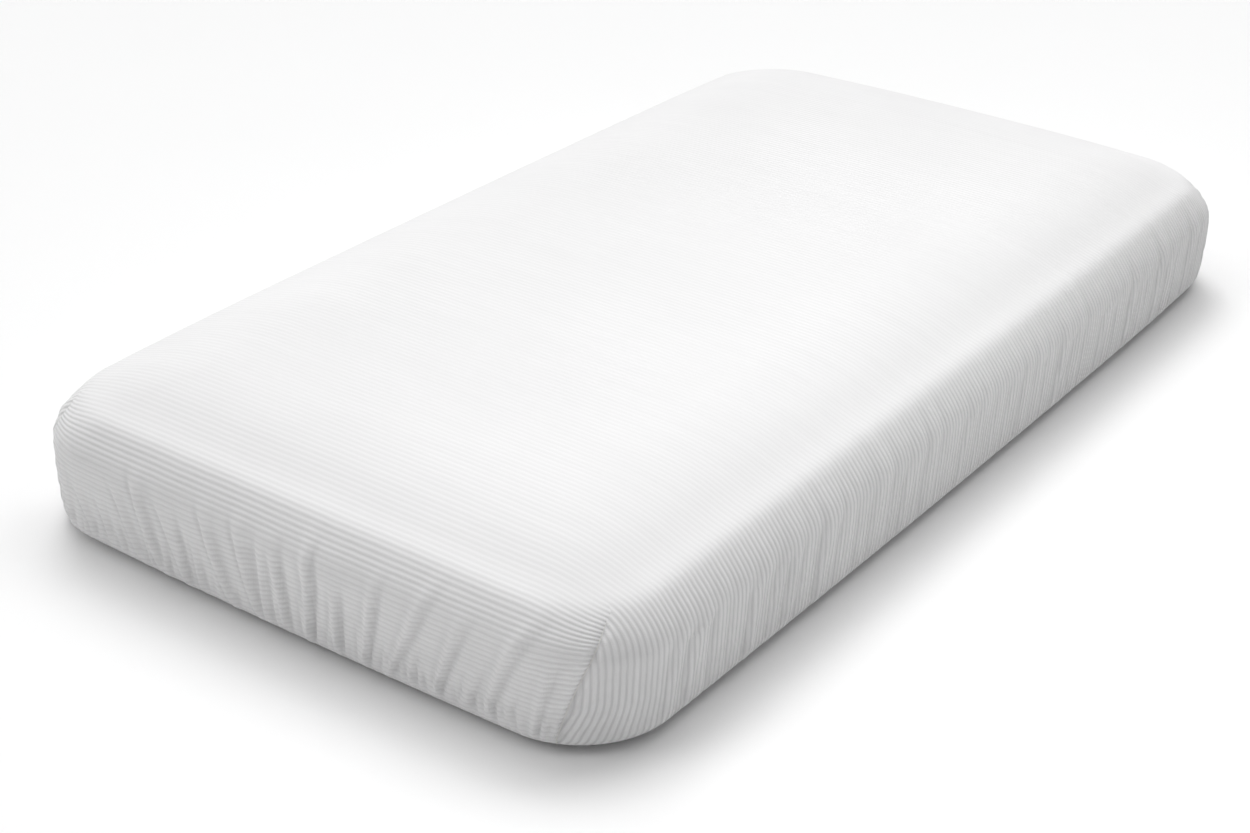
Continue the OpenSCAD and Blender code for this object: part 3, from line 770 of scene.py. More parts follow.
tri_end = np.array([V0[t, 1].mean() ** 2 / (L / 2) ** 2 > V0[t, 0].mean() ** 2 / (W / 2) ** 2 and abs(V0[t, 1]).max() > L / 2 - AT + 0.01 for t in tris])
lq = np.where(endmask[:, None], QE[quads], QS[quads])
lv = np.where(endmask[:, None], VE[quads], VS[quads])
tq = np.where(tri_end[:, None], QE[tris], QS[tris])
tv = np.where(tri_end[:, None], VE[tris], VS[tris])
uvl = sheet_me.uv_layers.new(name="fabric")
uvd = np.stack([np.concatenate([lq.ravel(), tq.ravel()]), np.concatenate([lv.ravel(), tv.ravel()])], 1) * MM
uvl.data.foreach_set("uv", uvd.astype(np.float32).ravel())
# the painted shade per vertex; none on the lid grid
PAINTED_SHADE_V = np.concatenate([painted_shade.ravel(), np.zeros(len(G))])
on_endish = np.where(kind == 2, fr > 0.5, kind == 1)
# rib relief: scales the bump and the painted shade in the rib grooves; weaker on the top, stronger on the sides and
# ends
rel = 0.20 + np.where(on_endish, 0.42, 0.75)[None] * smooth((arc - 116) / 44.0)[:, None]
rel = rel + np.where(on_endish, 0.0, 0.22)[None] * smooth((arc - 170) / 40.0)[:, None]
REL = np.concatenate([rel.ravel(), np.full(len(G), 0.20)])
# a UV layer carries the painted shade (u) and the rib relief (v) to the material
shade_relief = sheet_me.uv_layers.new(name="shade_relief")
li = np.concatenate([quads.ravel(), tris.ravel()])
shade_relief.data.foreach_set("uv", np.stack([PAINTED_SHADE_V[li], REL[li]], 1).astype(np.float32).ravel())
sheet = put("fitted_sheet_ribbed", sheet_me, M_SHEET, "mattress", ("fitted_sheet",))

# ------------------------------------------------------------ mitre seams ----
seam_parts = []
first = int(np.argmax(rows_z < 124))
for c, (sx_, sy_) in enumerate(((1, 1), (-1, 1), (-1, -1), (1, -1))):
    j = int([jj for jj in range(N) if kind[jj] == 2 and ex[jj] == sx_ and ey[jj] == sy_ and abs(fr[jj] - 0.5) < 1e-6][0])
    pth = V[:NR * N].reshape(NR, N, 3)[first:, j]
    nn = nrm[:NR * N].reshape(NR, N, 3)[first:, j]
    s = np.concatenate([[0], np.cumsum(np.linalg.norm(np.diff(pth, axis=0), axis=1))])
    t = np.linspace(0, s[-1], int(s[-1] / 1.1))
    pth = np.stack([np.interp(t, s, pth[:, a]) for a in range(3)], 1)
    nn = np.stack([np.interp(t, s, nn[:, a]) for a in range(3)], 1)
    wave = 1 + 0.16 * np.sin(t * 2 * np.pi / 3.3)
    fade = smooth(t / 14.0) * 0.8 + 0.2
    sc = np.stack([wave * fade, fade], 1)
    seam_parts.append(sweep(pth + nn * 0.02, nn, oval(1.3, 0.8, 8), False, True, sc))
V_, Q_, T_ = join_parts(seam_parts)
V_[:, 2] = np.maximum(V_[:, 2], 0.05)
seams = put("sheet_mitre_seams", mesh_np("sheet_mitre_seams", V_, Q_, T_), M_THREAD, "mattress", ("sheet_corner_seams",))

# ------------------------------------------------------------ inner layers ----
NYI, NXI, NCI = 96, 56, 14
CI = columns(NYI, NXI, NCI)
NI = len(CI)
BASE_Z, BASE_T = 5.5, 5.0
FILM_TOP, FILM_LOW = 111.75, 111.25
O_COVER, O_SOCK, O_FOAM = 3.6, 6.1, 7.6
SOCK_Z, FOAM_Z = 10.9, 12.2


def top_t(o, z):
    return math.degrees(math.acos((z - (H - BT)) / (BT - o)))


def with_r(rows, low):
    d = rows[:, 0]
    return np.column_stack([rows, R - d if low else R - R / AT * d])


def flat_rows(z, d0, d1, n, r0=None, r1=None):
    d = np.linspace(d0, d1, n + 1)
    r = R - R / AT * d if r0 is None else np.linspace(r0, r1, n + 1)
    return np.column_stack([d, np.full(n + 1, z), r])


def tidy(V, Q, T, amp, cell, seed):
    """A little hand-made unevenness, along the normals."""
    n = vert_normals(V, Q, T)
    w = value_noise(V[:, 0] / cell + V[:, 2] / cell, V[:, 1] / cell - V[:, 2] / cell, seed)
    return V + n * (amp * w)[:, None]


def stack_rows(rows, top_z=None, bottom_z=None, amp=0.2, cell=40.0, seed=0):
    """Rings from the inside of the top to the inside of the base, with a grid over each end that is given a height."""
    P, _ = rings(CI, rows[:, 0], rows[:, 2], rows[:, 1], warp=False)
    nr = len(rows)
    Vs, Qs, Ts = [P.reshape(-1, 3)], [ring_quads(nr, NI)], []
    n = nr * NI
    for z, ring, up in ((top_z, 0, True), (bottom_z, (nr - 1) * NI, False)):
        if z is None:
            continue
        g = grid_pts(W / 2 - AT, L / 2 - AT, NXI, NYI, z)
        T, Q = lid(NYI, NXI, NCI, ring, n, 1, up)
        Vs.append(g)
        Qs.append(Q)
        Ts.append(T)
        n += len(g)
    V, Q = np.concatenate(Vs), np.concatenate(Qs)
    T = np.concatenate(Ts) if Ts else np.zeros((0, 3), int)
    # the grid's corner fans close to a point where the ring has no radius
    V = deform(V)
    return tidy(V, Q, T, amp, cell, seed), Q, T


def edge_in(z, o):
    """Inset of a layer's edge at the height z on the top ellipse."""
    t = math.radians(top_t(o, z))
    return AT - (AT - o) * math.sin(t)


# support foam: flat top under the film, crowned sides, rounded lower edge
tj = top_t(O_FOAM, FILM_LOW)
rows = np.concatenate([
    flat_rows(FILM_LOW, AT - 4, edge_in(FILM_LOW, O_FOAM) + 3, 10),
    with_r(top_rows(O_FOAM, 7, tj, 90), False),
    with_r(low_rows(O_FOAM, FOAM_Z, 14), True),
    flat_rows(FOAM_Z, AB + 6, AT - 4, 9, R - AB - 6, 4)])
V_, Q_, T_ = stack_rows(rows, FILM_LOW, FOAM_Z, 0.35, 60.0, 401)
core = put("support_foam_core_block", mesh_np("support_foam_core_block", V_, Q_, T_), M_CORE, "mattress", ("support_foam_core",))

# memory foam: a slab with the soft shoulder cut on it
tj = top_t(O_FOAM, FILM_TOP)
rows = np.concatenate([
    with_r(top_rows(O_FOAM, 22, 0, tj)[1:], False),
    flat_rows(FILM_TOP, edge_in(FILM_TOP, O_FOAM) + 3, AT - 4, 9)])
V_, Q_, T_ = stack_rows(rows, H - O_FOAM, FILM_TOP, 0.25, 50.0, 402)
memory = put("memory_foam_slab", mesh_np("memory_foam_slab", V_, Q_, T_), M_MEMORY, "mattress", ("memory_foam_layer",))

# adhesive film between the foams
de = edge_in(FILM_TOP, O_FOAM) + 6
rows = np.concatenate([flat_rows(FILM_TOP - 0.04, AT - 4, de, 8), flat_rows(FILM_LOW + 0.04, de + 0.3, AT - 4, 8)])
V_, Q_, T_ = stack_rows(rows, FILM_TOP - 0.04, FILM_LOW + 0.04, 0.0, 40.0, 403)
film = put("adhesive_film_web", mesh_np("adhesive_film_web", V_, Q_, T_), M_GLUE, "mattress", ("adhesive_film",))

# fire sock: one knitted bag, open along a mouth on the near end
ts = np.sort(np.concatenate([even(lambda t: (AT - (AT - O_SOCK) * np.sin(t), H - BT + (BT - O_SOCK) * np.cos(t)), 22),
                             [top_t(O_SOCK, 93.5), top_t(O_SOCK, 92.0)]]))
tt = np.radians(ts)
tr = np.stack([AT - (AT - O_SOCK) * np.sin(tt), H - BT + (BT - O_SOCK) * np.cos(tt)], 1)[1:]
rows = np.concatenate([with_r(tr, False), with_r(low_rows(O_SOCK, SOCK_Z, 16), True),
                       flat_rows(SOCK_Z, AB + 6, AT - 4, 9, R - AB - 6, 4)])
V_, Q_, T_ = stack_rows(rows, H - O_SOCK, SOCK_Z, 0.22, 26.0, 404)
qc = V_[Q_].mean(1)
mouth = (qc[:, 1] < -L / 2 + 30) & (np.abs(qc[:, 0]) < 245) & (qc[:, 2] > 92.05) & (qc[:, 2] < 93.45)
sock = put("fire_sock_bag", mesh_np("fire_sock_bag", V_, Q_[~mouth], T_), M_SOCK, "mattress", ("fire_sock",))
xs = np.arange(-246, 246.1, 0.75)
zig = 1.7 * (2 * np.abs(((xs / 3.0) % 1) - 0.5) * 2 - 1)
yb = deform(np.stack([xs, np.full_like(xs, -L / 2 + O_SOCK + 0.02), np.full_like(xs, 92.75)], 1))
pth = yb + np.stack([0 * xs, -0.35 + 0 * xs, zig], 1)
V1 = sweep(pth, (0, -1, 0), oval(0.7, 0.7, 6), False)
pth2 = yb + np.stack([0 * xs, -0.15 + 0 * xs, 0.25 * np.sin(xs / 3.0 * 2 * np.pi)], 1)
V2 = sweep(pth2, (0, -1, 0), oval(1.3, 0.9, 6), False)
V_, Q_, T_ = join_parts([V1, V2])
sock_seam = put("fire_sock_overlock", mesh_np("fire_sock_overlock", V_, Q_, T_), M_THREAD, "mattress", ("fire_sock_closing_seam",))

# cover: quilt-soft top panel, side band, seams and base
rows = with_r(top_rows(O_COVER, 20, 0, 56)[1:], False)
V_, Q_, T_ = stack_rows(rows, H - O_COVER, None, 0.25, 30.0, 405)
cover_top = put("cover_top_knit", mesh_np("cover_top_knit", V_, Q_, T_), M_COVER, "mattress", ("cover_top_panel",))
rows = np.concatenate([with_r(top_rows(O_COVER, 8, 56, 90), False), with_r(low_rows(O_COVER, BASE_Z, 6, 0, 28), True)])
V_, Q_, T_ = stack_rows(rows, None, None, 0.22, 30.0, 406)
cover_side = put("cover_side_knit", mesh_np("cover_side_knit", V_, Q_, None), M_COVER, "mattress", ("cover_side_band",))


def ring_path(d, z, r, ny=260, nx=140, nc=24, bowed=True):
    c = columns(ny, nx, nc)
    P, _ = rings(c, [d], [r], [z], warp=False)
    p = P[0]
    return deform(p) if bowed else p


def binding(name, d, z, r, up, w, h, node):
    p = ring_path(d, z, r)
    s = np.concatenate([[0], np.cumsum(np.linalg.norm(np.diff(p, axis=0), axis=1))])
    mid = p.mean(0)
    out = p - mid
    out[:, 2] = 0
    nx_ = np.clip((np.abs(p[:, 0]) - (W / 2 - 110)) / 110, 0, 1) * np.sign(p[:, 0])
    ny_ = np.clip((np.abs(p[:, 1]) - (L / 2 - 110)) / 110, 0, 1) * np.sign(p[:, 1])
    o = np.stack([nx_, ny_, 0 * nx_], 1)
    o /= np.maximum(np.linalg.norm(o, axis=1, keepdims=True), 1e-6)
    u = o * math.cos(math.radians(up)) + np.array([0, 0, math.sin(math.radians(up))])
    sc = np.stack([1 + 0.04 * np.sin(s / 1.9), 1 + 0.06 * np.sin(s / 2.3)], 1)
    body = sweep(p, u, oval(w, h, 10), True, False, sc)
    # two rows of small stitches in the binding
    parts = [body]
    for off in (-w * 0.24, w * 0.24):
        parts.append(stitches(p, u, off, h / 2 - 0.05, 3.4, 2.3, 0.55))
    V_, Q_, T_ = join_parts(parts)
    return put(name, mesh_np(name, V_, Q_, T_), M_BIND, "mattress", (node,))


def stitches(path, up, off, lift, pitch, length, dia, closed=True, sides=5):
    """Short threads that dip at each end, laid along a path at a side offset."""
    path = np.asarray(path, float)
    if closed:
        path = np.concatenate([path, path[:1]])
        upv = np.concatenate([up, up[:1]]) if np.ndim(up) == 2 else np.broadcast_to(up, path.shape)
    else:
        upv = up if np.ndim(up) == 2 else np.broadcast_to(up, path.shape)
    s = np.concatenate([[0], np.cumsum(np.linalg.norm(np.diff(path, axis=0), axis=1))])
    n = int(s[-1] / pitch)
    pos = (np.arange(n) + 0.5) * s[-1] / n
    k = np.array([-0.5, -0.34, 0.0, 0.34, 0.5])
    dip = np.array([-0.5, 0.1, 0.28, 0.1, -0.5]) * dia
    q = pos[:, None] + k[None] * length
    q = np.clip(q, 0, s[-1])
    pt = np.stack([np.interp(q, s, path[:, a]) for a in range(3)], -1)
    uu = np.stack([np.interp(q, s, upv[:, a]) for a in range(3)], -1)
    uu /= np.linalg.norm(uu, axis=-1, keepdims=True)
    tan = pt[:, -1:] - pt[:, :1]
    tan = tan / np.maximum(np.linalg.norm(tan, axis=-1, keepdims=True), 1e-9) + 0 * pt
    side = np.cross(tan, uu)
    side /= np.linalg.norm(side, axis=-1, keepdims=True)
    c = pt + side * off + uu * (lift + dip[None, :, None])
    ang = np.linspace(0, 2 * np.pi, sides, endpoint=False)
    rad = dia / 2 * np.array([0.55, 1, 1.05, 1, 0.55])
    V = (c[:, :, None] + side[:, :, None] * (np.cos(ang)[None, None, :, None] * rad[None, :, None, None])
         + uu[:, :, None] * (np.sin(ang)[None, None, :, None] * rad[None, :, None, None]))
    m, a, b = V.shape[:3]
    V = V.reshape(-1, 3)
    i, j = np.meshgrid(np.arange(a - 1), np.arange(b), indexing="ij")
    q1 = np.stack([i * b + j, i * b + (j + 1) % b, (i + 1) * b + (j + 1) % b, (i + 1) * b + j], -1).reshape(-1, 4)
    t1 = [[0, k2 + 1, k2] for k2 in range(1, b - 1)] + [[(a - 1) * b, (a - 1) * b + k2, (a - 1) * b + k2 + 1] for k2 in range(1, b - 1)]
    offs = (np.arange(m) * a * b)[:, None, None]
    return V, (q1[None] + offs).reshape(-1, 4)[:, ::-1], (np.array(t1)[None] + offs).reshape(-1, 3)[:, ::-1]


t56 = math.radians(56)
seam_top = binding("cover_top_binding", AT - (AT - O_COVER) * math.sin(t56), H - BT + (BT - O_COVER) * math.cos(t56),
                   R - R / AT * (AT - (AT - O_COVER) * math.sin(t56)), 40, 6.5, 1.5, "cover_top_seam")
t28 = math.radians(28)
seam_low = binding("cover_base_binding", AB - (AB - O_COVER) * math.cos(t28), BB - (BB - BASE_Z) * math.sin(t28),
                   R - (AB - (AB - O_COVER) * math.cos(t28)), -8, 6.5, 1.5, "cover_bottom_seam")

# base of the cover: thick spacer fabric with a slot for the zip, both faces and the slot's wall
SLOT_X, SLOT_Y = 9.0, 530.0
outer = np.concatenate([with_r(low_rows(O_COVER, BASE_Z, 11, 28, 90), True), flat_rows(BASE_Z, AB + 8, 75, 4, R - AB - 8, 60)])
inner = np.concatenate([with_r(low_rows(O_COVER + 2.2, BASE_Z + BASE_T, 11, 28, 90), True),
                        flat_rows(BASE_Z + BASE_T, AB + 8, 75, 4, R - AB - 8, 60)])
Po, _ = rings(CI, outer[:, 0], outer[:, 2], outer[:, 1], warp=False)
Pi, _ = rings(CI, inner[:, 0], inner[:, 2], inner[:, 1], warp=False)
slot_c = CI.copy()
sl = np.stack([CI[:, 0] * SLOT_X, CI[:, 1] * SLOT_Y], 1)


def to_slot(P, z):
    fr_ = np.linspace(0, 1, 13)[1:]
    out = []
    for f in fr_:
        xy = P[-1, :, :2] * (1 - f) + sl * f
        out.append(np.column_stack([xy, np.full(len(xy), z)]))
    return np.array(out)


def waved(A, sign):
    """Shallow waves where the panel spans the slot's side."""
    w = 0.16 * value_noise(A[..., 0] / 60.0, A[..., 1] / 45.0, 407)
    flat = smooth((12 - A[..., 2]) / 4.0)
    A = A.copy()
    A[..., 2] += w * flat * sign
    return A


Pa = np.concatenate([Po, to_slot(Po, BASE_Z)])
Pb = np.concatenate([Pi, to_slot(Pi, BASE_Z + BASE_T)])
A = np.concatenate([waved(Pa, 1), waved(Pb, 1)[::-1]])
nr = len(A)
V_ = deform(A.reshape(-1, 3))
Q_ = np.concatenate([ring_quads(nr, NI), ring_quads(2, NI)[:, :] * 0])[:(nr - 1) * NI]
i = np.arange(NI)
Q_ = np.concatenate([Q_, np.stack([(nr - 1) * NI + i, i, (i + 1) % NI, (nr - 1) * NI + (i + 1) % NI], 1)])
base_panel = put("cover_base_spacer", mesh_np("cover_base_spacer", V_, Q_, None), M_SPACER, "mattress", ("cover_bottom_panel",))

# ---------------------------------------------------------------- sheet hem ----
hem_mid = ring_path(W / 2 - (HEM_X + CASE_W / 2), 2.35, HEM_R + CASE_W / 2, 800, 380, 90, False)
s = np.concatenate([[0], np.cumsum(np.linalg.norm(np.diff(hem_mid, axis=0), axis=1))])
# the plan of the opening, whatever the body's length: put the ends where the hem lies
hy_now = np.abs(hem_mid[:, 1]).max()
hem_mid[:, 1] *= (HEM_Y + CASE_W / 2) / hy_now
s = np.concatenate([[0], np.cumsum(np.linalg.norm(np.diff(hem_mid, axis=0), axis=1))])
gather = np.sin(s * 2 * np.pi / 11.6 + 2.2 * value_noise(s / 60.0, s * 0, 501))
depth = 0.7 + 0.3 * value_noise(s / 35.0, s * 0, 502)
sc = np.stack([1 + 0.05 * gather * depth, 0.90 + 0.10 * gather * depth], 1)
rect = np.array([(-6, 0), (-5.7, -1.3), (-4.6, -2.0), (-2, -2.2), (1, -2.2), (4, -2.1), (5.6, -1.4), (6, 0), (5.6, 1.4), (4, 2.1),
                 (1, 2.2), (-2, 2.2), (-4.6, 2.0), (-5.7, 1.3)])
mid = hem_mid.copy()
mid[:, 2] = 2.32 + 0.10 * gather * depth
up3 = np.tile(np.array([0, 0, 1.0]), (len(mid), 1))
V_, Q_, T_ = sweep(mid, up3, rect, True, False, sc)
V_[:, 2] = np.clip(V_[:, 2], 0.06, 4.95)
casing_me = mesh_np("sheet_hem_casing_gathered", V_, Q_, None)
uvl = casing_me.uv_layers.new(name="fabric")
vi = np.array(Q_).ravel()
sv = np.repeat(s, len(rect))
ev = np.tile(np.linspace(0, 30, len(rect)), len(s))
uvl.data.foreach_set("uv", (np.stack([sv[vi], ev[vi]], 1) * MM).astype(np.float32).ravel())
# the casing gets an even painted shade (u) and the rib relief (v)
shade_relief = casing_me.uv_layers.new(name="shade_relief")
shade_relief.data.foreach_set("uv", np.tile([0.25, 0.8], (len(vi), 1)).astype(np.float32).ravel())
casing = put("sheet_hem_casing_gathered", casing_me, M_SHEET, "mattress", ("sheet_hem_casing",))
el = hem_mid[::3].copy()
se = s[::3]
el[:, 2] = 2.35 + 0.12 * np.sin(se / 9.0)
V_, Q_, T_ = sweep(el, up3[::3], np.array([(-4, -0.5), (-3.7, -0.8), (3.7, -0.8), (4, -0.5), (4, 0.5), (3.7, 0.8), (-3.7, 0.8), (-4, 0.5)]),
                   True, False, np.stack([1 + 0.02 * np.sin(se / 2.0), 1 + 0 * se], 1))
elastic = put("sheet_hem_elastic_braid", mesh_np("sheet_hem_elastic_braid", V_, Q_, None), M_ELASTIC, "mattress", ("sheet_hem_elastic",))
hem_low = hem_mid.copy()
hem_low[:, 2] = 0
parts = [stitches(hem_low, up3, 4.0, 4.62, 4.0, 2.9, 0.5), stitches(hem_low, -up3, -4.0, -0.24, 4.0, 2.9, 0.34)]
V_, Q_, T_ = join_parts(parts)
V_[:, 2] = np.maximum(V_[:, 2], 0.02)
hem_stitch = put("sheet_hem_topstitch", mesh_np("sheet_hem_topstitch", V_, Q_, T_), M_THREAD, "mattress", ("sheet_hem_stitching",))


def slab(x0, x1, y0, y1, nx, ny, zf, thick):
    """A thin closed cloth tab whose mid surface is zf(x, y)."""
    x, y = np.meshgrid(np.linspace(x0, x1, nx + 1), np.linspace(y0, y1, ny + 1), indexing="ij")
    z = zf(x, y)
    edge = np.minimum(np.minimum(x - x0, x1 - x), np.minimum(y - y0, y1 - y))
    th = thick * (0.55 + 0.45 * smooth(edge / 0.8)) / 2
    V = np.concatenate([np.stack([x, y, z + th], -1).reshape(-1, 3), np.stack([x, y, z - th], -1).reshape(-1, 3)])
    m = (nx + 1) * (ny + 1)
    g = lambda a, b: a * (ny + 1) + b
    Q = []
    for a in range(nx):
        for b in range(ny):
            Q.append((g(a, b), g(a + 1, b), g(a + 1, b + 1), g(a, b + 1)))
            Q.append((m + g(a, b), m + g(a, b + 1), m + g(a + 1, b + 1), m + g(a + 1, b)))
    loop = [g(a, 0) for a in range(nx)] + [g(nx, b) for b in range(ny)] + [g(a, ny) for a in range(nx, 0, -1)] + [g(0, b) for b in range(ny, 0, -1)]
    for k in range(len(loop)):
        a, b = loop[k], loop[(k + 1) % len(loop)]
        Q.append((a, m + a, m + b, b))
    return V, np.array(Q), None


def run(p0, p1, n=40):
    return np.linspace(p0, p1, n)


V1 = slab(90, 132, 431, 456, 42, 25, lambda x, y: 5.18 + 0.10 * np.sin(x / 6.0) * np.sin(y / 9.0 + 1), 0.36)
lab1 = put("cover_care_tag", mesh_np("cover_care_tag", *V1), M_LABEL, "mattress", ("cover_care_label",))
V1 = slab(-284, -242, 321, 346, 42, 25, lambda x, y: 4.85 + 0.08 * np.sin(x / 5.0 + 1) * np.sin(y / 8.0), 0.34)
lab2 = put("sheet_care_tag", mesh_np("sheet_care_tag", *V1), M_LABEL, "mattress", ("sheet_care_label",))

# ----------------------------------------------------------------------- zip ----
TAPE0, TAPE1 = 4.9, 5.5
ys = np.linspace(-527, 527, 400)


def tape(side):
    prof = [(3.6, 5.0), (4.0, 4.78), (4.5, 4.78), (4.9, 4.95), (7, 4.93), (18.6, 4.93), (18.8, 5.05), (18.8, 5.40), (18.6, 5.48),
            (7, 5.48), (4.9, 5.46), (4.5, 5.62), (4.0, 5.62), (3.6, 5.40)]
    P = np.array(prof)
    V = []
    for y in ys:
        wob = 0.03 * math.sin(y / 17.0)
        V.append(np.stack([side * (P[:, 0]), np.full(len(P), y), P[:, 1] + wob * np.clip((P[:, 0] - 4.9) / 8, 0, 1)], 1))
    m = len(P)
    V = np.concatenate(V)
    i, j = np.meshgrid(np.arange(len(ys) - 1), np.arange(m), indexing="ij")
    Q = np.stack([i * m + j, i * m + (j + 1) % m, (i + 1) * m + (j + 1) % m, (i + 1) * m + j], -1).reshape(-1, 4)
    T = [(0, k + 1, k) for k in range(1, m - 1)] + [((len(ys) - 1) * m, (len(ys) - 1) * m + k, (len(ys) - 1) * m + k + 1) for k in range(1, m - 1)]
    T = np.array(T)
    if side > 0:
        Q, T = Q[:, ::-1], T[:, ::-1]
    return V, Q, T


tapeL = put("zip_tape_twill_left", mesh_np("zip_tape_twill_left", *tape(-1)), M_TAPE, "mattress", ("zip_tape_left",))
tapeR = put("zip_tape_twill_right", mesh_np("zip_tape_twill_right", *tape(1)), M_TAPE, "mattress", ("zip_tape_right",))


def prism(poly, z0, z1, inset):
    """Closed prism with a chamfer of `inset` round both ends."""
    P = np.array(poly, float)
    m = len(P)
    e0 = P - np.roll(P, 1, 0)
    e1 = np.roll(P, -1, 0) - P
    n0 = np.stack([e0[:, 1], -e0[:, 0]], 1) / np.maximum(np.linalg.norm(e0, axis=1, keepdims=True), 1e-9)
    n1 = np.stack([e1[:, 1], -e1[:, 0]], 1) / np.maximum(np.linalg.norm(e1, axis=1, keepdims=True), 1e-9)
    nn = n0 + n1
    nn = nn / np.maximum((nn * n0).sum(1, keepdims=True), 0.35)
    I = P - nn * inset
    lay = [np.column_stack([I, np.full(m, z0)]), np.column_stack([P, np.full(m, z0 + inset)]),
           np.column_stack([P, np.full(m, z1 - inset)]), np.column_stack([I, np.full(m, z1)])]
    V = np.concatenate(lay)
    Q = []
    for a in range(3):
        for j in range(m):
            Q.append((a * m + j, a * m + (j + 1) % m, (a + 1) * m + (j + 1) % m, (a + 1) * m + j))
    return V, np.array(Q), [list(range(m))[::-1], [3 * m + k for k in range(m)]]


def prisms(name, items):
    """Joins prisms whose ends are n-gons, flat shaded with smooth chamfers."""
    bm = bmesh.new()
    for V, Q, caps in items:
        vs = [bm.verts.new(Vector(p) * MM) for p in V]
        for q in Q:
            bm.faces.new([vs[k] for k in q])
        for c in caps:
            bm.faces.new([vs[k] for k in c])
    bmesh.ops.recalc_face_normals(bm, faces=bm.faces)
    me = bpy.data.meshes.new(name)
    bm.to_mesh(me)
    bm.free()
    return me


def moved(item, M):
    V, Q, caps = item
    V = np.asarray(V) @ np.array(M)[:3, :3].T + np.array(M)[:3, 3]
    return V, Q, caps


TP = 3.0
Y0, Y1 = -520.0, 509.5


def tooth_row(side, phase):
    poly = [(-3.9, -0.95), (-2.2, -0.95), (-1.2, -0.5), (0.1, -0.5), (0.45, -0.8), (1.0, -0.8), (1.3, -0.5), (1.3, 0.5), (1.0, 0.8),
            (0.45, 0.8), (0.1, 0.5), (-1.2, 0.5), (-2.2, 0.95), (-3.9, 0.95)]
    V, Q, caps = prism(poly, 4.25, 6.15, 0.18)
    m = len(poly)
    T = [[c[0], c[k], c[k + 1]] for c in caps for k in range(1, m - 1)]
    V = np.array(V)
    # a lengthwise dimple in the head, as a moulded tooth has
    n = int((Y1 - Y0 - 2) / TP)
    pos = Y0 + 1.2 + phase + np.arange(n) * TP
    VV = V[None] * np.array([1, 1, 1.0]) + np.stack([0 * pos, pos, 0 * pos], 1)[:, None]
    QQ = np.array(Q)[None] + (np.arange(n) * len(V))[:, None, None]
    TT = np.array(T)[None] + (np.arange(n) * len(V))[:, None, None]
    VV, QQ, TT = VV.reshape(-1, 3), QQ.reshape(-1, 4), TT.reshape(-1, 3)
    if side > 0:
        VV[:, 0] *= -1
        QQ, TT = QQ[:, ::-1], TT[:, ::-1]
    return VV, QQ, TT


def flat_shade(me):
    me.polygons.foreach_set("use_smooth", np.zeros(len(me.polygons), bool))
    return me


teethL = put("zip_teeth_moulded_left", flat_shade(mesh_np("zip_teeth_moulded_left", *tooth_row(-1, 0.0))), M_TEETH, "mattress", ("zip_teeth_left",))
teethR = put("zip_teeth_moulded_right", flat_shade(mesh_np("zip_teeth_moulded_right", *tooth_row(1, TP / 2))), M_TEETH, "mattress", ("zip_teeth_right",))


def rounded(x0, x1, y0, y1, r, n=4):
    p = []
    for cx_, cy_, a0 in ((x1 - r, y1 - r, 0), (x0 + r, y1 - r, 90), (x0 + r, y0 + r, 180), (x1 - r, y0 + r, 270)):
        for k in range(n + 1):
            a = math.radians(a0 + 90 * k / n)
            p.append((cx_ + r * math.cos(a), cy_ + r * math.sin(a)))
    return p


stopB = put("zip_bottom_box", prisms("zip_bottom_box", [prism(rounded(-5.4, 5.4, -523.2, -520.2, 0.7), 4.2, 6.2, 0.25),
            prism(rounded(-3.9, 3.9, -522.6, -520.8, 0.5), 3.95, 4.3, 0.12)]), M_METAL, "mattress", ("zip_bottom_stop",))
stopT = put("zip_top_clamps", prisms("zip_top_clamps", [prism(rounded(x, x + 3.2, 517.5, 520.5, 0.8), 4.2, 6.2, 0.3) for x in (-5.4, 2.2)]),
            M_METAL, "mattress", ("zip_top_stops",))


def plate_poly(k=0.0):
    return [(-5 + k, -4.6), (-4.6 + k, -5.6), (-3.8, -6 + k), (3.8, -6 + k), (4.6 - k, -5.6), (5 - k, -4.6), (5 - k, 3.8), (4.7 - k, 4.8),
            (3.9, 5.7 - k), (3.2, 6 - k), (1.3, 6 - k), (0.0, 5.4), (-1.3, 6 - k), (-3.2, 6 - k), (-3.9, 5.7 - k), (-4.7 + k, 4.8), (-5 + k, 3.8)]


SY = 510.0
at = Matrix.Translation((0, SY, 0))
items = [moved(prism(plate_poly(), 3.05, 4.0, 0.28), at), moved(prism(plate_poly(), 6.4, 7.35, 0.28), at)]
post = [(1.4 * math.cos(a), 2.5 + 1.4 * math.sin(a)) for a in np.linspace(0, 2 * np.pi, 16, endpoint=False)]
items.append(moved(prism(post, 3.6, 6.8, 0.1), at))
for x in (-5, 4.2):
    for z0, z1 in ((3.9, 4.7), (5.7, 6.5)):
        items.append(moved(prism(rounded(x, x + 0.8, -5, 4.5, 0.25, 2), z0, z1, 0.12), at))
# arched bridge for the pull, drawn in its side view and turned upright
arch_o = [(-4.0, 3.2), (-4.0, 1.9), (-3.6, 1.1), (-2.9, 0.75), (-1.5, 0.7), (0.6, 0.7), (1.5, 0.8), (2.05, 1.3), (2.2, 2.0), (2.2, 3.2)]
arch_i = [(1.2, 3.2), (1.2, 2.2), (0.95, 1.72), (0.5, 1.5), (-2.3, 1.5), (-2.75, 1.65), (-3.0, 2.2), (-3.0, 3.2)]
Vb = []
for x in (-0.8, 0.8):
    Vb += [(x, SY + y, z) for y, z in arch_o + arch_i]
mb = len(arch_o) + len(arch_i)
ring_q = [(k, (k + 1) % mb, mb + (k + 1) % mb, mb + k) for k in range(mb)]
items.append((np.array(Vb), np.array(ring_q), [list(range(mb)), [mb + k for k in range(mb)][::-1]]))
slider_me = prisms("zip_slider_cast", items)
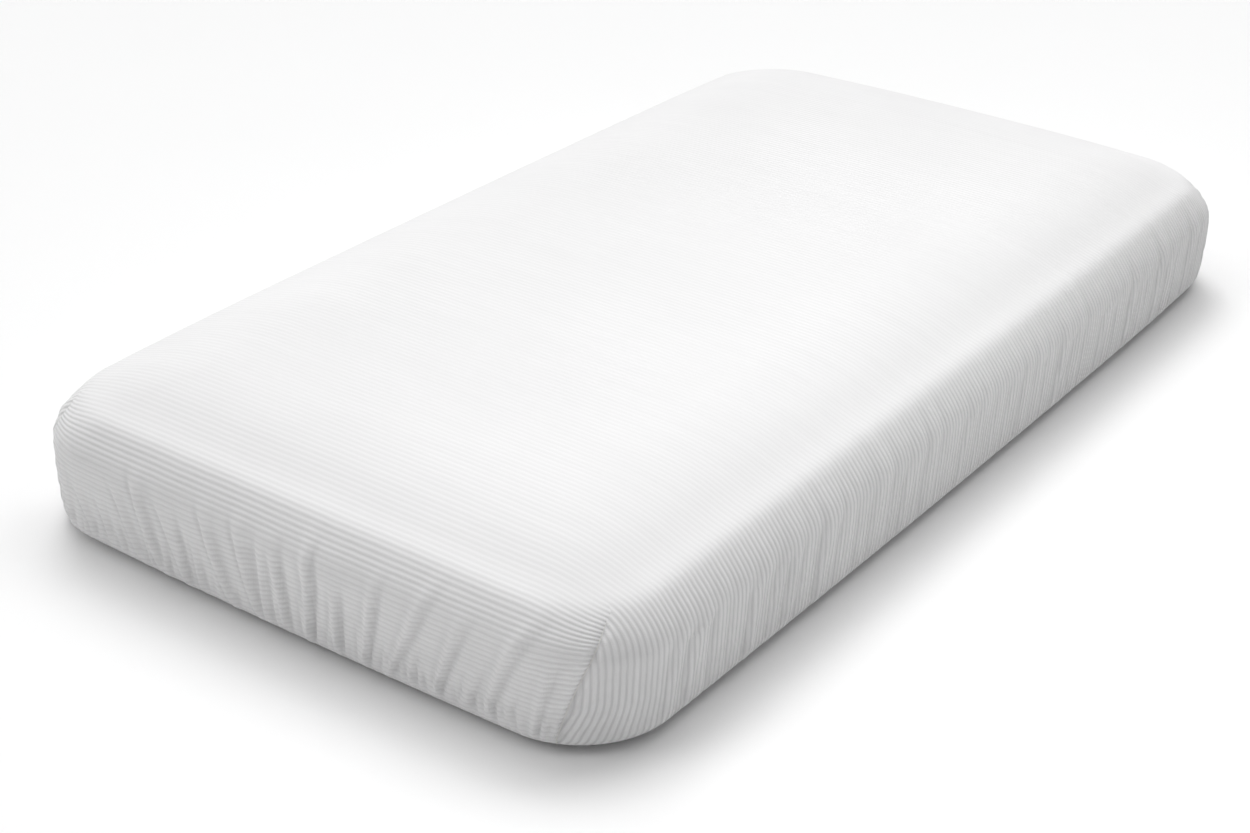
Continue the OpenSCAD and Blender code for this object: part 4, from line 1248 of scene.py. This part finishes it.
slider = put("zip_slider_cast", slider_me, M_METAL, "zip_slider", ("zip_slider",))

PY, PZ = 510.3, 2.3
bar = [(0.55 * math.cos(a), 0.55 * math.sin(a)) for a in np.linspace(0, 2 * np.pi, 16, endpoint=False)]
turn = Matrix.Translation((0, PY, PZ)) @ Matrix.Rotation(math.radians(90), 4, "Y")
items = [moved(prism(bar, -1.9, 1.9, 0.08), turn)]
z0, z1 = PZ - 0.55, PZ + 0.55
for x in (-2.5, 1.3):
    items.append(prism(rounded(x, x + 1.2, PY - 5.9, PY + 0.5, 0.5, 3), z0, z1, 0.16))
items.append(prism(rounded(-2.5, 2.5, PY - 6.6, PY - 5.0, 0.35, 3), z0, z1, 0.16))
# teardrop tab with a hole
tip = PY - 23 + 3.5
outl = [(2.3, PY - 6.2), (3.0, PY - 7.6), (3.5, PY - 10), (3.5, tip)] + [(3.5 * math.cos(a), tip - 3.5 * math.sin(a)) for a in np.linspace(0, math.pi, 13)[1:-1]] + \
       [(-3.5, tip), (-3.5, PY - 10), (-3.0, PY - 7.6), (-2.3, PY - 6.2)]
hole = [(1.25 * math.cos(a), tip + 1.25 * math.sin(a)) for a in np.linspace(0, 2 * np.pi, 25)[:-1]]


def tab_mesh():
    bm = bmesh.new()
    def loop(pts, z):
        return [bm.verts.new(Vector((x, y, z)) * MM) for x, y in pts]
    k = 0.18
    P = np.array(outl)
    c = P.mean(0)
    inn = [(x - math.copysign(min(k, abs(x)), x), y + (k if y < c[1] else -k)) for x, y in outl]
    H2 = np.array(hole)
    wid = [tuple(np.array([0, tip]) + (h - np.array([0, tip])) * (1 + k / 1.25)) for h in H2]
    rings_ = [(loop(inn, z0), loop(wid, z0)), (loop(outl, z0 + k), loop(hole, z0 + k)), (loop(outl, z1 - k), loop(hole, z1 - k)), (loop(inn, z1), loop(wid, z1))]
    for a in range(3):
        for idx in (0, 1):
            A_, B_ = rings_[a][idx], rings_[a + 1][idx]
            for j in range(len(A_)):
                bm.faces.new((A_[j], A_[(j + 1) % len(A_)], B_[(j + 1) % len(B_)], B_[j]))
    for a in (0, 3):
        es = []
        for lp in rings_[a]:
            for j in range(len(lp)):
                e = bm.edges.get((lp[j], lp[(j + 1) % len(lp)]))
                es.append(e)
        bmesh.ops.triangle_fill(bm, use_beauty=True, edges=es)
    bmesh.ops.recalc_face_normals(bm, faces=bm.faces)
    me = bpy.data.meshes.new("tab")
    bm.to_mesh(me)
    bm.free()
    return me


pull_me = prisms("zip_pull_tab", items)
bm = bmesh.new()
bm.from_mesh(pull_me)
tm = tab_mesh()
bm.from_mesh(tm)
bm.to_mesh(pull_me)
bm.free()
bpy.data.meshes.remove(tm)
pull = put("zip_pull_tab", pull_me, M_METAL, "zip_pull", ("zip_pull",))

# sewing that holds the tapes to the base, and the tags
sew = []
for sgn in (-1, 1):
    for x in (11.2, 16.6):
        line = run((sgn * x, -525, TAPE0), (sgn * x, 525, TAPE0), 60)
        sew.append(stitches(line, np.tile([0, 0, -1.0], (60, 1)), 0, 0.0, 3.3, 2.4, 0.42, False))
for x0, x1, y, z in ((91.2, 91.2, None, 4.98),):
    line = run((91.2, 432.5, 4.98), (91.2, 454.5, 4.98), 12)
    sew.append(stitches(line, np.tile([0, 0, -1.0], (12, 1)), 0, 0.0, 2.6, 1.9, 0.36, False))
line = run((-282.6, 322.5, 5.03), (-282.6, 344.5, 5.03), 12)
sew.append(stitches(line, np.tile([0, 0, 1.0], (12, 1)), 0, 0.0, 2.6, 1.9, 0.3, False))
V_, Q_, T_ = join_parts(sew)
sewing = put("zip_and_tag_sewing", mesh_np("zip_and_tag_sewing", V_, Q_, T_), M_THREAD, "mattress")

# ------------------------------------------------------------------- stage ----
floor_me = mesh_np("floor", [(-30000, -30000, 0), (30000, -30000, 0), (30000, 30000, 0), (-30000, 30000, 0)], [(0, 1, 2, 3)])
fm = Nodes("pale_floor")
fo = fm.coord()
fcol = fm.mix(fm.noise(fo, 3.0, 2.0), (0.930, 0.930, 0.930), (0.940, 0.940, 0.940))
fm.done(fcol, 0.9, Specular_IOR_Level=0.0)
floor_me.materials.append(fm.mat)
floor = bpy.data.objects.new("floor", floor_me)
scene.collection.objects.link(floor)

SUNS = [  # azimuth (0 = from -Y, 90 = from +X), elevation, strength, spread, in degrees
    (225, 65, 0.620, 30),
    (270, 65, 0.425, 30),
    (180, 48, 0.545, 28),
    (225, 48, 0.800, 28),
    (315, 48, 0.310, 28),
    (315, 34, 0.170, 24),
]
BOXES = [  # softboxes over the bed: x, y, z, side in metres, watts
    (0.35, 0.05, 1.1, 0.6, 1.00),
    (0.60, 0.30, 1.7, 0.9, 0.93),
    (0.90, -0.40, 1.3, 0.7, 1.35),
]
WORLD = 0.28
for k, (az, el, st, an) in enumerate(SUNS):
    ld = bpy.data.lights.new(f"studio_{k}", "SUN")
    ld.energy = st
    ld.angle = math.radians(an)
    lo = bpy.data.objects.new(f"studio_{k}", ld)
    a, e = math.radians(az), math.radians(el)
    back = Vector((math.sin(a) * math.cos(e), -math.cos(a) * math.cos(e), math.sin(e)))
    lo.rotation_mode = "QUATERNION"
    lo.rotation_quaternion = (-back).to_track_quat("-Z", "Y")
    lo.location = back * 4
    scene.collection.objects.link(lo)
for k, (x, y, z, side, watts) in enumerate(BOXES):
    ld = bpy.data.lights.new(f"softbox_{k}", "AREA")
    ld.shape = "SQUARE"
    ld.size = side
    ld.energy = watts
    lo = bpy.data.objects.new(f"softbox_{k}", ld)
    lo.location = (x, y, z)
    lo.rotation_mode = "QUATERNION"
    lo.rotation_quaternion = (Vector((0.6 * x, 0.6 * y, 0.1)) - lo.location).to_track_quat("-Z", "Y")
    scene.collection.objects.link(lo)
world = bpy.data.worlds.new("studio")
world.use_nodes = True
world.node_tree.nodes["Background"].inputs[0].default_value = (1, 1, 1, 1)
world.node_tree.nodes["Background"].inputs[1].default_value = WORLD
scene.world = world

# ------------------------------------------------------------------ camera ----
yaw, pitch, roll = 0.606, 0.489, 0.029
back = Vector((math.sin(yaw) * math.cos(pitch), -math.cos(yaw) * math.cos(pitch), math.sin(pitch)))
right = Vector((math.cos(yaw), math.sin(yaw), 0))
up = back.cross(right)
r2 = right * math.cos(roll) + up * math.sin(roll)
u2 = up * math.cos(roll) - right * math.sin(roll)
cd = bpy.data.cameras.new("camera")
cd.lens, cd.sensor_width, cd.sensor_fit = 64.34, 36, "HORIZONTAL"
cd.clip_start, cd.clip_end = 0.1, 100
camera = bpy.data.objects.new("camera", cd)
scene.collection.objects.link(camera)
camera.location = Vector((-8.26, -121.27, 0)) * MM + back * 2.3963
camera.rotation_mode = "QUATERNION"
camera.rotation_quaternion = Matrix((r2, u2, back)).transposed().to_quaternion()
scene.camera = camera
